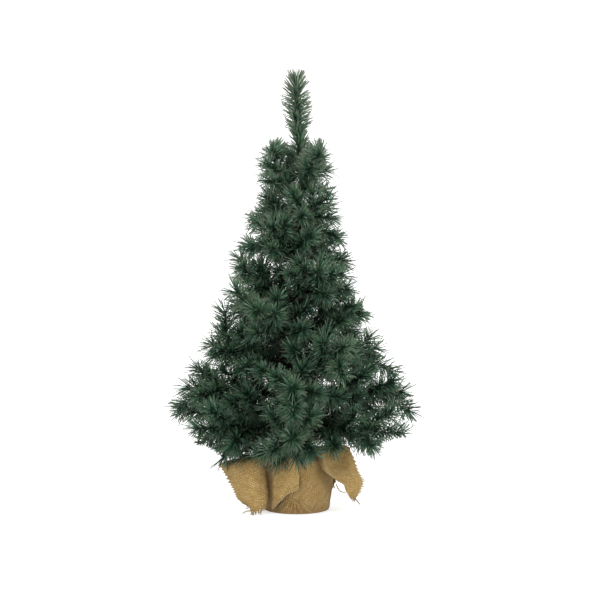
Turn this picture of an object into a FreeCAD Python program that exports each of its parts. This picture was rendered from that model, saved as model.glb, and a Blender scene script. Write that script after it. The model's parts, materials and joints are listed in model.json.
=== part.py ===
import FreeCAD, Part
import Sketcher
import math
import os
from FreeCAD import Placement, Rotation, Vector

# Artificial tabletop tree in a wrapped pot. Millimetres and degrees, +Z up, the front towards -Y.
# The origin is the centre of the face that the wrapped pot rests on.
# The pole stands on the Z axis. Left is -X, as seen from the front.

# Alias, value, note.
SIZES = [
    ("jute_thick", 1.6, "thickness of the woven wrap"),
    ("jute_foot_radius", 44.5, "outside radius of the wrap on the table"),
    ("jute_rim_radius", 54.0, "outside radius of the wrap round the pot's rim"),
    ("jute_rim_height", 70.5, "height of the wrap's widest place"),
    ("jute_rim_ease", 0.1, "extra step inwards at the widest place"),
    ("jute_shoulder_radius", 51.6, "where the wrap turns in over the rim"),
    ("jute_shoulder_height", 74.0, "height of that turn"),
    ("jute_gather_radius", 21.0, "start of the gathered neck"),
    ("jute_gather_height", 79.5, "height of that start"),
    ("jute_inset", 0.9, "radial step to the inner face at shoulder, gather and ruff"),
    ("jute_neck_radius", 15.5, "outside radius of the tied neck"),
    ("jute_neck_low", 82.5, "height of the neck's lower end"),
    ("jute_neck_high", 88.5, "height of the neck's upper end"),
    ("jute_neck_drop", 1.0, "the inner face's lower corner, below the outer one"),
    ("jute_neck_lift", 0.6, "the inner face's upper corner, above the outer one"),
    ("jute_ruff_radius", 25.0, "loose edge that stands above the tie"),
    ("jute_ruff_height", 96.0, "height of that edge's outer corner"),
    ("jute_ruff_lip", 1.4, "rise from the edge's outer corner to its inner one"),
    ("flap_thick", 3.0, "thickness of a hanging corner of the wrap, folds included"),
    ("flap_plane", 52.6, "distance of a hanging corner's inner face from the axis"),
    ("flap_plane_right", 30.0, "the same for the right corner, which stands out sideways"),
    ("flap_left_turn", -30.0, "turn of the left corner about the axis, 0 facing the front"),
    ("flap_right_turn", 15.0, "the same for the right corner"),
    ("flap_back_left_turn", -140.0, "the same for the back left corner"),
    ("flap_back_right_turn", 130.0, "the same for the back right corner"),
    ("tie_cord_radius", 1.2, "cord round the neck"),
    ("tie_ring_radius", 16.8, "centre line of the cord"),
    ("tie_low", 84.2, "height of the cord's lower turn"),
    ("tie_pitch", 2.6, "rise from one turn to the next"),
    ("pot_foot_radius", 41.0, "outside of the plastic pot at its foot"),
    ("pot_rim_radius", 51.6, "outside of the pot at its rim"),
    ("pot_wall", 2.0, "thickness of the pot"),
    ("pot_base", 1.8, "height of the pot's underside"),
    ("pot_rim", 70.0, "height of the pot's rim"),
    ("cement_foot_radius", 38.9, "cement cast in the pot, at its foot"),
    ("cement_top_radius", 47.0, "the same at its upper edge"),
    ("cement_base", 4.0, "height of the cement's underside"),
    ("cement_edge", 56.0, "height of the cement at the wall"),
    ("cement_crown", 58.0, "height of the cement at the pole"),
    ("pole_radius", 3.5, "outside of the steel tube"),
    ("pole_wall", 0.8, "thickness of the tube"),
    ("pole_foot", 8.2, "height of the pole's lower end"),
    ("pole_height", 437.8, "length of the pole"),
    ("pole_gap", 0.05, "clearance between the pole and what lies against it"),
    ("pole_foot_gap", 0.2, "clearance between the pole's foot and the cement"),
    ("wire_radius", 1.1, "twisted wire stem"),
    ("twig_wire_radius", 0.9, "twisted wire twig"),
    ("wire_start", 2.5, "where a stem starts, out from its bend"),
    ("tail_below", 2.0, "how far a stem's tail reaches below its sleeve"),
    ("tail_drop", 1.6, "gap between a tail's top and the bend"),
    ("sleeve_length", 12.0, "tape sleeve over the tails"),
    ("sleeve_bore", 5.9, "inside radius of the sleeve"),
    ("sleeve_radius", 6.6, "outside radius of the sleeve"),
    ("brush_root_radius", 3.4, "solid core of the needles at its root"),
    ("brush_radius", 4.6, "the same at its outer end"),
    ("brush_nose_radius", 1.2, "the same at the tip of its nose"),
    ("brush_nose", 14.0, "how far the needles reach past a wire's end"),
    ("brush_start", 15.0, "where a stem's core starts, out from its bend"),
    ("brush_gap", 11.8, "side clearance of a twig's core from its stem"),
    ("brush_gap_extra", 1.0, "further start of a twig's core, along the twig"),
    ("leader_turn", 20.0, "azimuth at which the top shoot is bound to the pole"),
    ("leader_bend", 452.0, "height of the top shoot's bend"),
    ("leader_tip_x", -1.0, "end of the top shoot's wire"),
    ("leader_tip_z", 586.0, "height of that end"),
    ("leader_brush_start", 12.0, "where the top shoot's core starts, out from its bend"),
    ("leader_brush_radius", 6.0, "radius of that core at its outer end"),
]

# Hanging corners of the wrap: name, alias of the plane, outline as (x, height) in that plane.
FLAPS = [
    ("left", "flap_plane", [
        (-86, 67), (-40, 71), (2, 69), (3, 36), (-6, 8),
        (-24, 2), (-38, 1), (-54, 9), (-72, 34), (-87, 57),
    ]),
    ("right", "flap_plane_right", [
        (30, 74.6), (30, 80), (44, 84), (54, 86), (72, 65), (85, 38), (77, 14),
        (72, 15), (63, 29), (54, 44), (47, 60), (44.5, 72.6), (38, 74.4),
    ]),
    ("back_left", "flap_plane", [(-36, 70), (36, 70), (22, 34), (0, 12), (-24, 36)]),
    ("back_right", "flap_plane", [(-34, 69), (36, 70), (42, 38), (10, 16), (-18, 38)]),
]
CORNER_LETTERS = "abcdefghijklmnop"

# Twigs are (fork distance along the stem, direction round the stem, splay from it, length).
# Direction 0 is to the branch's left as seen from the trunk, 90 is up.
TWIG_COLUMNS = ("fork", "side", "splay", "length")

# Tiers, lowest first: height of the bends, rise angle of the stems above level, length of a
# stem's wire, height of the sleeve's lower edge, twigs.
TIER_COLUMNS = ("height", "rise", "stem", "sleeve")
TIERS = [
    (106.0, 0.0, 147.0, 98.4, [
        (36, 20, 48, 66), (40, 165, 48, 68), (66, 95, 42, 50),
        (72, 268, 38, 42), (94, 8, 38, 50), (92, 172, 38, 50)]),
    (145.0, 6.0, 143.0, 126.0, [
        (34, 15, 50, 70), (36, 170, 50, 70), (60, 92, 42, 50),
        (70, 270, 38, 42), (88, 12, 38, 48), (86, 168, 38, 48)]),
    (190.0, 14.0, 121.0, 162.4, [
        (30, 10, 50, 60), (32, 172, 50, 62), (52, 95, 42, 46),
        (60, 268, 38, 38), (76, 15, 36, 40), (74, 165, 36, 40)]),
    (237.0, 22.0, 100.0, 212.6, [
        (24, 8, 54, 56), (26, 172, 54, 56), (42, 92, 40, 42),
        (48, 270, 40, 34), (62, 15, 36, 36), (60, 165, 36, 36)]),
    (283.0, 30.0, 84.0, 255.0, [
        (20, 5, 54, 50), (22, 175, 54, 50), (36, 90, 38, 38),
        (40, 270, 42, 32), (52, 12, 36, 32), (50, 168, 36, 32)]),
    (328.0, 38.0, 69.0, 319.5, [
        (16, 0, 60, 50), (18, 180, 60, 50), (30, 90, 36, 36),
        (30, 270, 46, 34), (42, 20, 36, 30), (40, 160, 36, 30)]),
    (374.0, 46.0, 62.0, 364.7, [
        (14, 0, 58, 44), (16, 180, 58, 44), (26, 90, 30, 32), (28, 270, 48, 32)]),
    (424.0, 54.0, 61.0, 415.0, [
        (14, 0, 48, 40), (16, 180, 48, 40), (26, 270, 46, 24)]),
]

# Branches: tier, azimuth (0 is +X, -90 the front), rise change, length factor, twig length
# factor, roll about its own stem, lift of its root above the tier's height. They stand for how a
# hand shapes each wire. Then two extra twigs, which fill the middle of the tree.
BRANCH_COLUMNS = ("azimuth", "rise", "length", "twigs", "roll", "lift")
BRANCHES = [
    (1, -91.1, -1.3, 1.01, 1.09, 45, 11.0, [(63, 277, 43, 44), (59, 241, 83, 48)]),
    (1, -33.2, -0.9, 1.09, 0.96, 39, 9.4, [(48, 330, 70, 36), (40, 250, 60, 28)]),
    (1, 78.2, -1.5, 0.94, 0.93, 11, 11.0, [(53, 268, 61, 42), (97, 313, 68, 34)]),
    (1, 154.0, 4.0, 1.06, 0.96, 50, 11.0, [(125, 7, 41, 47), (30, 248, 62, 50)]),
    (1, 212.5, -0.5, 1.02, 1.06, 50, 11.0, [(84, 253, 68, 47), (52, 265, 61, 50)]),
    (2, -90.9, 3.1, 0.98, 0.99, -22, 7.3, [(67, 215, 80, 39), (112, 269, 42, 49)]),
    (2, 1.1, -3.0, 0.98, 1.08, -19, 7.1, [(76, 268, 73, 44), (110, 292, 38, 50)]),
    (2, 90.4, 2.8, 1.01, 1.09, 25, -2.0, [(92, 108, 58, 50), (112, 142, 68, 50)]),
    (2, 180.6, -1.0, 1.0, 0.98, -35, 11.0, [(99, 108, 40, 43), (114, 262, 38, 47)]),
    (3, -60.4, 2.6, 1.03, 0.96, -9, -1.0, [(100, 246, 53, 50), (35, 90, 46, 33)]),
    (3, 25.7, 4.8, 1.03, 1.09, -32, -10.6, [(100, 236, 62, 50), (36, 254, 40, 34)]),
    (3, 106.0, 3.3, 0.98, 1.01, -44, 3.3, [(93, 177, 64, 41), (27, 224, 80, 47)]),
    (3, 190.0, 0.5, 0.96, 1.02, -38, 7.3, [(65, 160, 76, 40), (92, 87, 70, 50)]),
    (4, -122.1, 2.2, 1.09, 1.08, -19, -7.4, [(34, 38, 79, 47), (87, 146, 45, 50)]),
    (4, 7.1, 3.1, 0.94, 0.98, 5, -5.8, [(16, 135, 56, 39), (53, 159, 59, 50)]),
    (4, 141.1, -5.4, 0.93, 1.1, 4, 6.5, [(7, 163, 77, 36), (10, 94, 44, 41)]),
    (5, -54.6, -4.0, 0.96, 1.09, -12, 0.1, [(12, 64, 70, 40), (47, 147, 65, 49)]),
    (5, 68.3, 1.5, 1.08, 0.92, -23, -11.0, [(17, 201, 65, 40), (72, 226, 65, 50)]),
    (5, 199.3, 6.0, 1.08, 1.04, 35, -7.7, [(73, 153, 59, 38), (12, 128, 55, 50)]),
    (6, -124.0, 1.1, 1.0, 1.09, 11, 8.5, [(50, 245, 64, 50), (10, 165, 63, 44)]),
    (6, 58.0, -5.7, 0.96, 1.1, 34, 10.2, [(10, 82, 48, 46), (50, 236, 77, 50)]),
    (7, -42.8, -6.0, 1.04, 1.01, 20, 7.7, [(11, 315, 76, 50), (19, 147, 58, 49)]),
    (7, 154.8, -4.7, 0.94, 0.99, -45, 10.4, [(46, 136, 59, 43), (42, 254, 63, 40)]),
    (8, 165.6, 4.9, 0.97, 1.08, -10, 11.0, [(8, 342, 77, 50), (46, 12, 64, 24)]),
    (8, -17.3, 6.0, 0.96, 1.0, 12, 8.0, [(45, 194, 67, 32), (10, 343, 81, 50)]),
]

UP = Vector(0, 0, 1)

doc = FreeCAD.newDocument("TabletopTree")
sheet = doc.addObject("Spreadsheet::Sheet", "Dims")
aliases = []


# Spreadsheet: the name in column A, the number in column B, a note in column C.

def cell(alias, value, note=""):
    aliases.append(alias)
    row = len(aliases)
    sheet.set("A%d" % row, alias)
    sheet.set("B%d" % row, repr(float(value)))
    sheet.setAlias("B%d" % row, alias)
    if note:
        sheet.set("C%d" % row, note)


def cells(prefix, columns, values):
    for column, value in zip(columns, values):
        cell(prefix + column, value)


def fill_sheet():
    for alias, value, note in SIZES:
        cell(alias, value, note)
    for side, _, corners in FLAPS:
        for letter, corner in zip(CORNER_LETTERS, corners):
            cells("flap_%s_" % side, ("x" + letter, "z" + letter), corner)
    for i, (*values, twigs) in enumerate(TIERS, 1):
        cells("tier%d_" % i, TIER_COLUMNS, values)
        for j, twig in enumerate(twigs, 1):
            cells("tier%d_twig%d_" % (i, j), TWIG_COLUMNS, twig)
    for i, (_, *values, extras) in enumerate(BRANCHES, 1):
        cells("b%02d_" % i, BRANCH_COLUMNS, values)
        for j, twig in enumerate(extras, 1):
            cells("b%02d_extra%d_" % (i, j), TWIG_COLUMNS, twig)
    doc.recompute()


def dim(alias):
    return float(sheet.get(alias))


# Helpers for bodies and sketches.

def add(kind, label, **sizes):
    """A new object, with expressions for its sizes."""
    obj = doc.addObject(kind, label)
    obj.Label = label
    for prop, expression in sizes.items():
        obj.setExpression(prop, expression)
    return obj


def resolve(text):
    """Expression and number for "0" or for a sum of aliases, such as "pot_base + pot_wall"."""
    if text == "0":
        return "0", 0.0
    total = 0.0
    sign = 1.0
    words = []
    for word in text.split():
        if word in ("+", "-"):
            sign = 1.0 if word == "+" else -1.0
            words.append(word)
        else:
            total += sign * dim(word)
            words.append("Dims." + word)
    return " ".join(words), total


def polygon(sketch, points):
    """A closed outline whose corners are each held by two sizes, given as (x, y) sums."""
    corners = [(resolve(x), resolve(y)) for x, y in points]
    places = [Vector(x[1], y[1], 0) for x, y in corners]
    count = len(points)
    for i in range(count):
        sketch.addGeometry(Part.LineSegment(places[i], places[(i + 1) % count]), False)
    for i in range(count):
        sketch.addConstraint(Sketcher.Constraint("Coincident", i, 2, (i + 1) % count, 1))
    for i, (x, y) in enumerate(corners):
        # A corner at 0 lies on the sketch's vertical axis (-2) or horizontal axis (-1).
        for kind, (expression, value), axis in (("DistanceX", x, -2), ("DistanceY", y, -1)):
            if expression == "0":
                sketch.addConstraint(Sketcher.Constraint("PointOnObject", i, 1, axis))
                continue
            n = sketch.addConstraint(Sketcher.Constraint(kind, -1, 1, i, 1, value))
            sketch.setExpression("Constraints[%d]" % n, expression)


def sketch_on(body, name, plane, offset=None):
    sketch = body.newObject("Sketcher::SketchObject", name)
    support = [f for f in body.Origin.OriginFeatures if f.Role == plane][0]
    sketch.AttachmentSupport = [(support, "")]
    sketch.MapMode = "FlatFace"
    if offset is not None:
        sketch.AttachmentOffset = offset
    return sketch


def pad(body, name, sketch, length):
    feature = body.newObject("PartDesign::Pad", name)
    feature.Profile = sketch
    feature.setExpression("Length", length)
    body.Tip = feature


def turned(label, points):
    """A body turned about the Z axis from an outline in the XZ plane."""
    body = add("PartDesign::Body", label)
    sketch = sketch_on(body, label + "_outline", "XZ_Plane")
    polygon(sketch, points)
    turn = body.newObject("PartDesign::Revolution", label + "_turn")
    turn.Profile = sketch
    turn.ReferenceAxis = (sketch, ["V_Axis"])
    turn.Angle = 360.0
    body.Tip = turn
    doc.recompute()
    return body


# The pot and what is round and in it.

def make_jute_wrap():
    """A cup round the pot, turned in over its rim, tied at the neck and loose above the tie."""
    jute = turned("jute_wrap", [
        # Outer face, upwards.
        ("0", "0"),
        ("jute_foot_radius", "0"),
        ("jute_rim_radius", "jute_rim_height"),
        ("jute_shoulder_radius", "jute_shoulder_height"),
        ("jute_gather_radius", "jute_gather_height"),
        ("jute_neck_radius", "jute_neck_low"),
        ("jute_neck_radius", "jute_neck_high"),
        ("jute_ruff_radius", "jute_ruff_height"),
        # Inner face, downwards.
        ("jute_ruff_radius - jute_inset", "jute_ruff_height + jute_ruff_lip"),
        ("jute_neck_radius - jute_thick", "jute_neck_high + jute_neck_lift"),
        ("jute_neck_radius - jute_thick", "jute_neck_low - jute_neck_drop"),
        ("jute_gather_radius - jute_inset", "jute_gather_height - jute_thick"),
        ("jute_shoulder_radius - jute_inset", "jute_shoulder_height - jute_thick"),
        ("jute_rim_radius - jute_thick - jute_rim_ease", "jute_rim_height"),
        ("jute_foot_radius - jute_thick", "jute_thick"),
        ("0", "jute_thick"),
    ])
    for side, plane, corners in FLAPS:
        add_flap(jute, side, plane, len(corners))
    return jute


def add_flap(jute, side, plane, count):
    """A hanging corner, padded outwards from an upright plane turned about the Z axis."""
    name = "flap_" + side
    # The sketch's own y axis is the global Z axis.
    turn = Rotation(Vector(0, 1, 0), dim(name + "_turn"))
    offset = Placement(turn.multVec(Vector(0, 0, dim(plane))), turn)
    sketch = sketch_on(jute, name + "_outline", "XZ_Plane", offset)
    letters = CORNER_LETTERS[:count]
    polygon(sketch, [(name + "_x" + letter, name + "_z" + letter) for letter in letters])
    before = jute.Shape.Volume
    pad(jute, name, sketch, "Dims.flap_thick")
    doc.recompute()
    assert jute.Shape.Volume > before, side


def make_neck_tie():
    """The cord that holds the neck, two turns."""
    turns = []
    for i in range(2):
        ring = add(
            "Part::Torus",
            "tie_turn_%d" % (i + 1),
            Radius1="Dims.tie_ring_radius",
            Radius2="Dims.tie_cord_radius",
        )
        ring.setExpression("Placement.Base.z", "Dims.tie_low + %d * Dims.tie_pitch" % i)
        turns.append(ring)
    return compound("neck_tie", turns)


def compound(label, links):
    group = add("Part::Compound", label)
    group.Links = links
    return group


def make_pot():
    return turned("pot", [
        ("0", "pot_base"),
        ("pot_foot_radius", "pot_base"),
        ("pot_rim_radius", "pot_rim"),
        ("pot_rim_radius - pot_wall", "pot_rim"),
        ("pot_foot_radius - pot_wall", "pot_base + pot_wall"),
        ("0", "pot_base + pot_wall"),
    ])


def make_cement():
    """The cement cast in the pot round the pole's foot."""
    return turned("cement_ballast", [
        ("0", "cement_base"),
        ("cement_foot_radius", "cement_base"),
        ("cement_top_radius", "cement_edge"),
        ("pole_radius + pole_gap", "cement_crown"),
        ("pole_radius + pole_gap", "pole_foot - pole_foot_gap"),
        ("0", "pole_foot - pole_foot_gap"),
    ])


def make_pole():
    """A steel tube."""
    pole = add("PartDesign::Body", "pole")
    section = sketch_on(pole, "pole_section", "XY_Plane")
    for size in ("pole_radius", "pole_radius - pole_wall"):
        expression, radius = resolve(size)
        n = section.addGeometry(Part.Circle(Vector(0, 0, 0), UP, radius), False)
        section.addConstraint(Sketcher.Constraint("Coincident", n, 3, -1, 1))
        k = section.addConstraint(Sketcher.Constraint("Radius", n, radius))
        section.setExpression("Constraints[%d]" % k, expression)
    pad(pole, "pole_tube", section, "Dims.pole_height")
    pole.setExpression("Placement.Base.z", "Dims.pole_foot")
    return pole


# Wires and needles. Lengths and heights are expressions; places and directions are vectors.

def aimed(base, direction):
    return Placement(base, Rotation(UP, direction))


def rod(name, base, direction, radius, length):
    wire = add("Part::Cylinder", name, Radius=radius, Height=length)
    wire.Placement = aimed(base, direction)
    return wire


def stem_rod(name, bend, direction, reach):
    """A stem's wire, with reach measured from the bend to the wire's end."""
    base = bend + direction * dim("wire_start")
    return rod(name, base, direction, "Dims.wire_radius", reach + " - Dims.wire_start")


def spindle(name, base, direction, length, radius="Dims.brush_radius"):
    """Solid core of a needle brush: it widens over length, then narrows to a nose."""
    shaft = add(
        "Part::Cone", name, Radius1="Dims.brush_root_radius", Radius2=radius, Height=length
    )
    shaft.Placement = aimed(base, direction)
    nose = add(
        "Part::Cone",
        name + "_nose",
        Radius1=radius,
        Radius2="Dims.brush_nose_radius",
        Height="Dims.brush_nose",
    )
    # The nose stands on the shaft's end, so the shaft's height is needed now.
    doc.recompute([shaft])
    nose.Placement = aimed(base + direction * float(shaft.Height.Value), direction)
    return [shaft, nose]


def fuse(label, shapes):
    fusion = add("Part::MultiFuse", label)
    fusion.Shapes = shapes
    return fusion


def bend_at(azimuth, height):
    """Centre of a wire that lies against the pole; azimuth in radians."""
    radius = dim("pole_radius") + dim("pole_gap") + dim("wire_radius")
    return Vector(radius * math.cos(azimuth), radius * math.sin(azimuth), height)


def make_tail(label, bend, bend_height, tier):
    """The end of a stem that runs down the pole through its tier's sleeve."""
    sleeve = "Dims.%ssleeve" % tier
    length = "%s - Dims.tail_drop - %s + Dims.tail_below" % (bend_height, sleeve)
    tail = rod(label + "_tail", Vector(bend.x, bend.y, 0), UP, "Dims.wire_radius", length)
    tail.setExpression("Placement.Base.z", sleeve + " - Dims.tail_below")
    return tail


def make_branch(number, tier_number, extra_count):
    """One bendable stem with its twigs twisted on. Returns its wire, its needles and its tail."""
    tier = "tier%d_" % tier_number
    branch = "b%02d_" % number
    label = "branch_%02d" % number
    azimuth = math.radians(dim(branch + "azimuth"))
    rise = math.radians(dim(tier + "rise") + dim(branch + "rise"))
    stem = Vector(
        math.cos(azimuth) * math.cos(rise), math.sin(azimuth) * math.cos(rise), math.sin(rise)
    )
    left = Vector(-math.sin(azimuth), math.cos(azimuth), 0)
    over = stem.cross(left)
    bend = bend_at(azimuth, dim(tier + "height") + dim(branch + "lift"))

    stem_reach = "Dims.%sstem * Dims.%slength" % (tier, branch)
    wires = [stem_rod(label + "_stem", bend, stem, stem_reach)]
    cores = spindle(
        label + "_brush",
        bend + stem * dim("brush_start"),
        stem,
        stem_reach + " - Dims.brush_start",
    )

    # Twigs as (alias prefix, roll, length factor); the extra ones are neither rolled nor scaled.
    roll = dim(branch + "roll")
    factor = " * Dims.%stwigs" % branch
    twig_count = len(TIERS[tier_number - 1][-1])
    twigs = [("%stwig%d_" % (tier, j + 1), roll, factor) for j in range(twig_count)]
    twigs += [("%sextra%d_" % (branch, j + 1), 0.0, "") for j in range(extra_count)]
    for j, (twig, twig_roll, twig_factor) in enumerate(twigs, 1):
        name = "%s_twig_%d" % (label, j)
        reach = "Dims.%slength%s" % (twig, twig_factor)
        side = math.radians(dim(twig + "side") + twig_roll)
        splay = math.radians(dim(twig + "splay"))
        outward = left * math.cos(side) + over * math.sin(side)
        direction = stem * math.cos(splay) + outward * math.sin(splay)
        fork = bend + stem * dim(twig + "fork")
        clear = dim("brush_gap") / math.sin(splay) + dim("brush_gap_extra")
        wires.append(rod(name, fork, direction, "Dims.twig_wire_radius", reach))
        cores += spindle(
            name + "_brush",
            fork + direction * clear,
            direction,
            "%s - Dims.brush_gap / sin(Dims.%ssplay * 1 deg) - Dims.brush_gap_extra"
            % (reach, twig),
        )
    wire = fuse(label + "_wire", wires)
    needles = fuse(label + "_needles", cores)
    bend_height = "Dims.%sheight + Dims.%slift" % (tier, branch)
    return wire, needles, make_tail(label, bend, bend_height, tier)


def make_leader():
    """The top shoot, one straight wire bound to the pole's upper end in the top tier's sleeve."""
    bend = bend_at(math.radians(dim("leader_turn")), dim("leader_bend"))
    shoot = Vector(dim("leader_tip_x"), 0, dim("leader_tip_z")) - bend
    cell("leader_reach", round(shoot.Length, 4), "from the bend to the wire's end")
    shoot.normalize()
    doc.recompute()
    wire = stem_rod("leader_wire", bend, shoot, "Dims.leader_reach")
    cores = spindle(
        "leader_brush",
        bend + shoot * dim("leader_brush_start"),
        shoot,
        "Dims.leader_reach - Dims.leader_brush_start",
        "Dims.leader_brush_radius",
    )
    needles = fuse("leader_needles", cores)
    return wire, needles, make_tail("leader", bend, "Dims.leader_bend", "tier%d_" % len(TIERS))


def make_sleeve(number):
    """A tape sleeve over one tier's tails."""
    name = "sleeve_%d" % number
    sleeve_cylinders = []
    for suffix, radius in (("_outer", "Dims.sleeve_radius"), ("_bore", "Dims.sleeve_bore")):
        cylinder = add(
            "Part::Cylinder", name + suffix, Radius=radius, Height="Dims.sleeve_length"
        )
        cylinder.setExpression("Placement.Base.z", "Dims.tier%d_sleeve" % number)
        sleeve_cylinders.append(cylinder)
    sleeve = add("Part::Cut", name)
    sleeve.Base, sleeve.Tool = sleeve_cylinders
    return sleeve


def export(parts):
    doc.recompute()
    for obj in doc.Objects:
        assert not {"Invalid", "Error"} & set(obj.State), (obj.Label, obj.State)
    for part in parts:
        shape = part.Shape
        assert not shape.isNull() and shape.isValid() and shape.Volume > 0, part.Label
        assert len(shape.Solids) >= 1, part.Label
    os.makedirs("parts", exist_ok=True)
    for part in parts:
        part.Shape.exportStep(os.path.join("parts", part.Label + ".step"))


fill_sheet()
parts = [make_jute_wrap(), make_neck_tie(), make_pot(), make_cement(), make_pole()]
tails = []
for number, (tier_number, *_, extras) in enumerate(BRANCHES, 1):
    wire, needles, tail = make_branch(number, tier_number, len(extras))
    parts += [wire, needles]
    tails.append(tail)
wire, needles, tail = make_leader()
parts += [wire, needles]
tails.append(tail)
parts.append(compound("branch_tails", tails))
sleeves = [make_sleeve(i + 1) for i in range(len(TIERS))]
parts.append(compound("branch_bindings", sleeves))
export(parts)
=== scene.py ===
"""An artificial tabletop tree: bendable branches of clamped flat needles on a pole, in a pot wrapped in jute cloth."""

import json
import math

import bpy
import numpy as np
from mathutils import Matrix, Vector


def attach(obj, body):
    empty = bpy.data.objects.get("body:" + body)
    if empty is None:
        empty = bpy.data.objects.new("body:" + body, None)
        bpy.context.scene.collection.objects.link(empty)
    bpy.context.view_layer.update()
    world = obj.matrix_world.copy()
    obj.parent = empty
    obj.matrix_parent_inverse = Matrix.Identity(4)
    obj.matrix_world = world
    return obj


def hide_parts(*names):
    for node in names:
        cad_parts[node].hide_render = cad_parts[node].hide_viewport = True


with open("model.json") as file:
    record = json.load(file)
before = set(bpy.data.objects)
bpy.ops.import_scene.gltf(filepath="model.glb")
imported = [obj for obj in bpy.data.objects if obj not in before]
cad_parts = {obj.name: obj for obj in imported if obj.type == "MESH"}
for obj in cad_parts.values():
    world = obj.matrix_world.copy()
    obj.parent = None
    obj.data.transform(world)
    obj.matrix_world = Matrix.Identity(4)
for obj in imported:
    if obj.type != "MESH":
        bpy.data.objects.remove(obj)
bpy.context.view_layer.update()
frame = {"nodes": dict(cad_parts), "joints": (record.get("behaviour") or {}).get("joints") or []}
MM = 0.001


JOINTS = {j["child"]: j for j in frame["joints"]}
scene = bpy.context.scene

# Branch layout, the same as the frame's: tier = rise angle, stem length, azimuths, twigs (fork, side, splay, length).
TIERS = [
    (106.0, 0.0, 147.0, [-91.1, -33.2, 78.2, 154.0, 212.5], [(36, 20, 48, 66), (40, 165, 48, 68), (66, 95, 42, 50), (72, 268, 38, 42), (94, 8, 38, 50), (92, 172, 38, 50)]),
    (145.0, 6.0, 143.0, [-90.9, 1.1, 90.4, 180.6], [(34, 15, 50, 70), (36, 170, 50, 70), (60, 92, 42, 50), (70, 270, 38, 42), (88, 12, 38, 48), (86, 168, 38, 48)]),
    (190.0, 14.0, 121.0, [-60.4, 25.7, 106.0, 190.0], [(30, 10, 50, 60), (32, 172, 50, 62), (52, 95, 42, 46), (60, 268, 38, 38), (76, 15, 36, 40), (74, 165, 36, 40)]),
    (237.0, 22.0, 100.0, [-122.1, 7.1, 141.1], [(24, 8, 54, 56), (26, 172, 54, 56), (42, 92, 40, 42), (48, 270, 40, 34), (62, 15, 36, 36), (60, 165, 36, 36)]),
    (283.0, 30.0, 84.0, [-54.6, 68.3, 199.3], [(20, 5, 54, 50), (22, 175, 54, 50), (36, 90, 38, 38), (40, 270, 42, 32), (52, 12, 36, 32), (50, 168, 36, 32)]),
    (328.0, 38.0, 69.0, [-124.0, 58.0], [(16, 0, 60, 50), (18, 180, 60, 50), (30, 90, 36, 36), (30, 270, 46, 34), (42, 20, 36, 30), (40, 160, 36, 30)]),
    (374.0, 46.0, 62.0, [-42.8, 154.8], [(14, 0, 58, 44), (16, 180, 58, 44), (26, 90, 30, 32), (28, 270, 48, 32)]),
    (424.0, 54.0, 61.0, [165.6, -17.3], [(14, 0, 48, 40), (16, 180, 48, 40), (26, 270, 46, 24)]),
]
# One row per branch: rise change, length factor, twig length factor, roll about its own stem, lift of its root above the tier's height. They stand for how a hand shapes each wire.
SHAPED = [
    (-1.3, 1.01, 1.09, 45, 11.0),
    (-0.9, 1.09, 0.96, 39, 9.4),
    (-1.5, 0.94, 0.93, 11, 11.0),
    (4.0, 1.06, 0.96, 50, 11.0),
    (-0.5, 1.02, 1.06, 50, 11.0),
    (3.1, 0.98, 0.99, -22, 7.3),
    (-3.0, 0.98, 1.08, -19, 7.1),
    (2.8, 1.01, 1.09, 25, -2.0),
    (-1.0, 1.0, 0.98, -35, 11.0),
    (2.6, 1.03, 0.96, -9, -1.0),
    (4.8, 1.03, 1.09, -32, -10.6),
    (3.3, 0.98, 1.01, -44, 3.3),
    (0.5, 0.96, 1.02, -38, 7.3),
    (2.2, 1.09, 1.08, -19, -7.4),
    (3.1, 0.94, 0.98, 5, -5.8),
    (-5.4, 0.93, 1.1, 4, 6.5),
    (-4.0, 0.96, 1.09, -12, 0.1),
    (1.5, 1.08, 0.92, -23, -11.0),
    (6.0, 1.08, 1.04, 35, -7.7),
    (1.1, 1.0, 1.09, 11, 8.5),
    (-5.7, 0.96, 1.1, 34, 10.2),
    (-6.0, 1.04, 1.01, 20, 7.7),
    (-4.7, 0.94, 0.99, -45, 10.4),
    (4.9, 0.97, 1.08, -10, 11.0),
    (6.0, 0.96, 1.0, 12, 8.0),
]
# Two short twigs per branch near the pole, which fill the middle: fork distance, direction round the stem, splay, length.
EXTRA = [
    [(63, 277, 43, 44), (59, 241, 83, 48)],
    [(48, 330, 70, 36), (40, 250, 60, 28)],
    [(53, 268, 61, 42), (97, 313, 68, 34)],
    [(125, 7, 41, 47), (30, 248, 62, 50)],
    [(84, 253, 68, 47), (52, 265, 61, 50)],
    [(67, 215, 80, 39), (112, 269, 42, 49)],
    [(76, 268, 73, 44), (110, 292, 38, 50)],
    [(92, 108, 58, 50), (112, 142, 68, 50)],
    [(99, 108, 40, 43), (114, 262, 38, 47)],
    [(100, 246, 53, 50), (35, 90, 46, 33)],
    [(100, 236, 62, 50), (36, 254, 40, 34)],
    [(93, 177, 64, 41), (27, 224, 80, 47)],
    [(65, 160, 76, 40), (92, 87, 70, 50)],
    [(34, 38, 79, 47), (87, 146, 45, 50)],
    [(16, 135, 56, 39), (53, 159, 59, 50)],
    [(7, 163, 77, 36), (10, 94, 44, 41)],
    [(12, 64, 70, 40), (47, 147, 65, 49)],
    [(17, 201, 65, 40), (72, 226, 65, 50)],
    [(73, 153, 59, 38), (12, 128, 55, 50)],
    [(50, 245, 64, 50), (10, 165, 63, 44)],
    [(10, 82, 48, 46), (50, 236, 77, 50)],
    [(11, 315, 76, 50), (19, 147, 58, 49)],
    [(46, 136, 59, 43), (42, 254, 63, 40)],
    [(8, 342, 77, 50), (46, 12, 64, 24)],
    [(45, 194, 67, 32), (10, 343, 81, 50)],
]


# ---------------------------------------------------------------- helpers


def unit(v):
    return v / np.linalg.norm(v)


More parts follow.
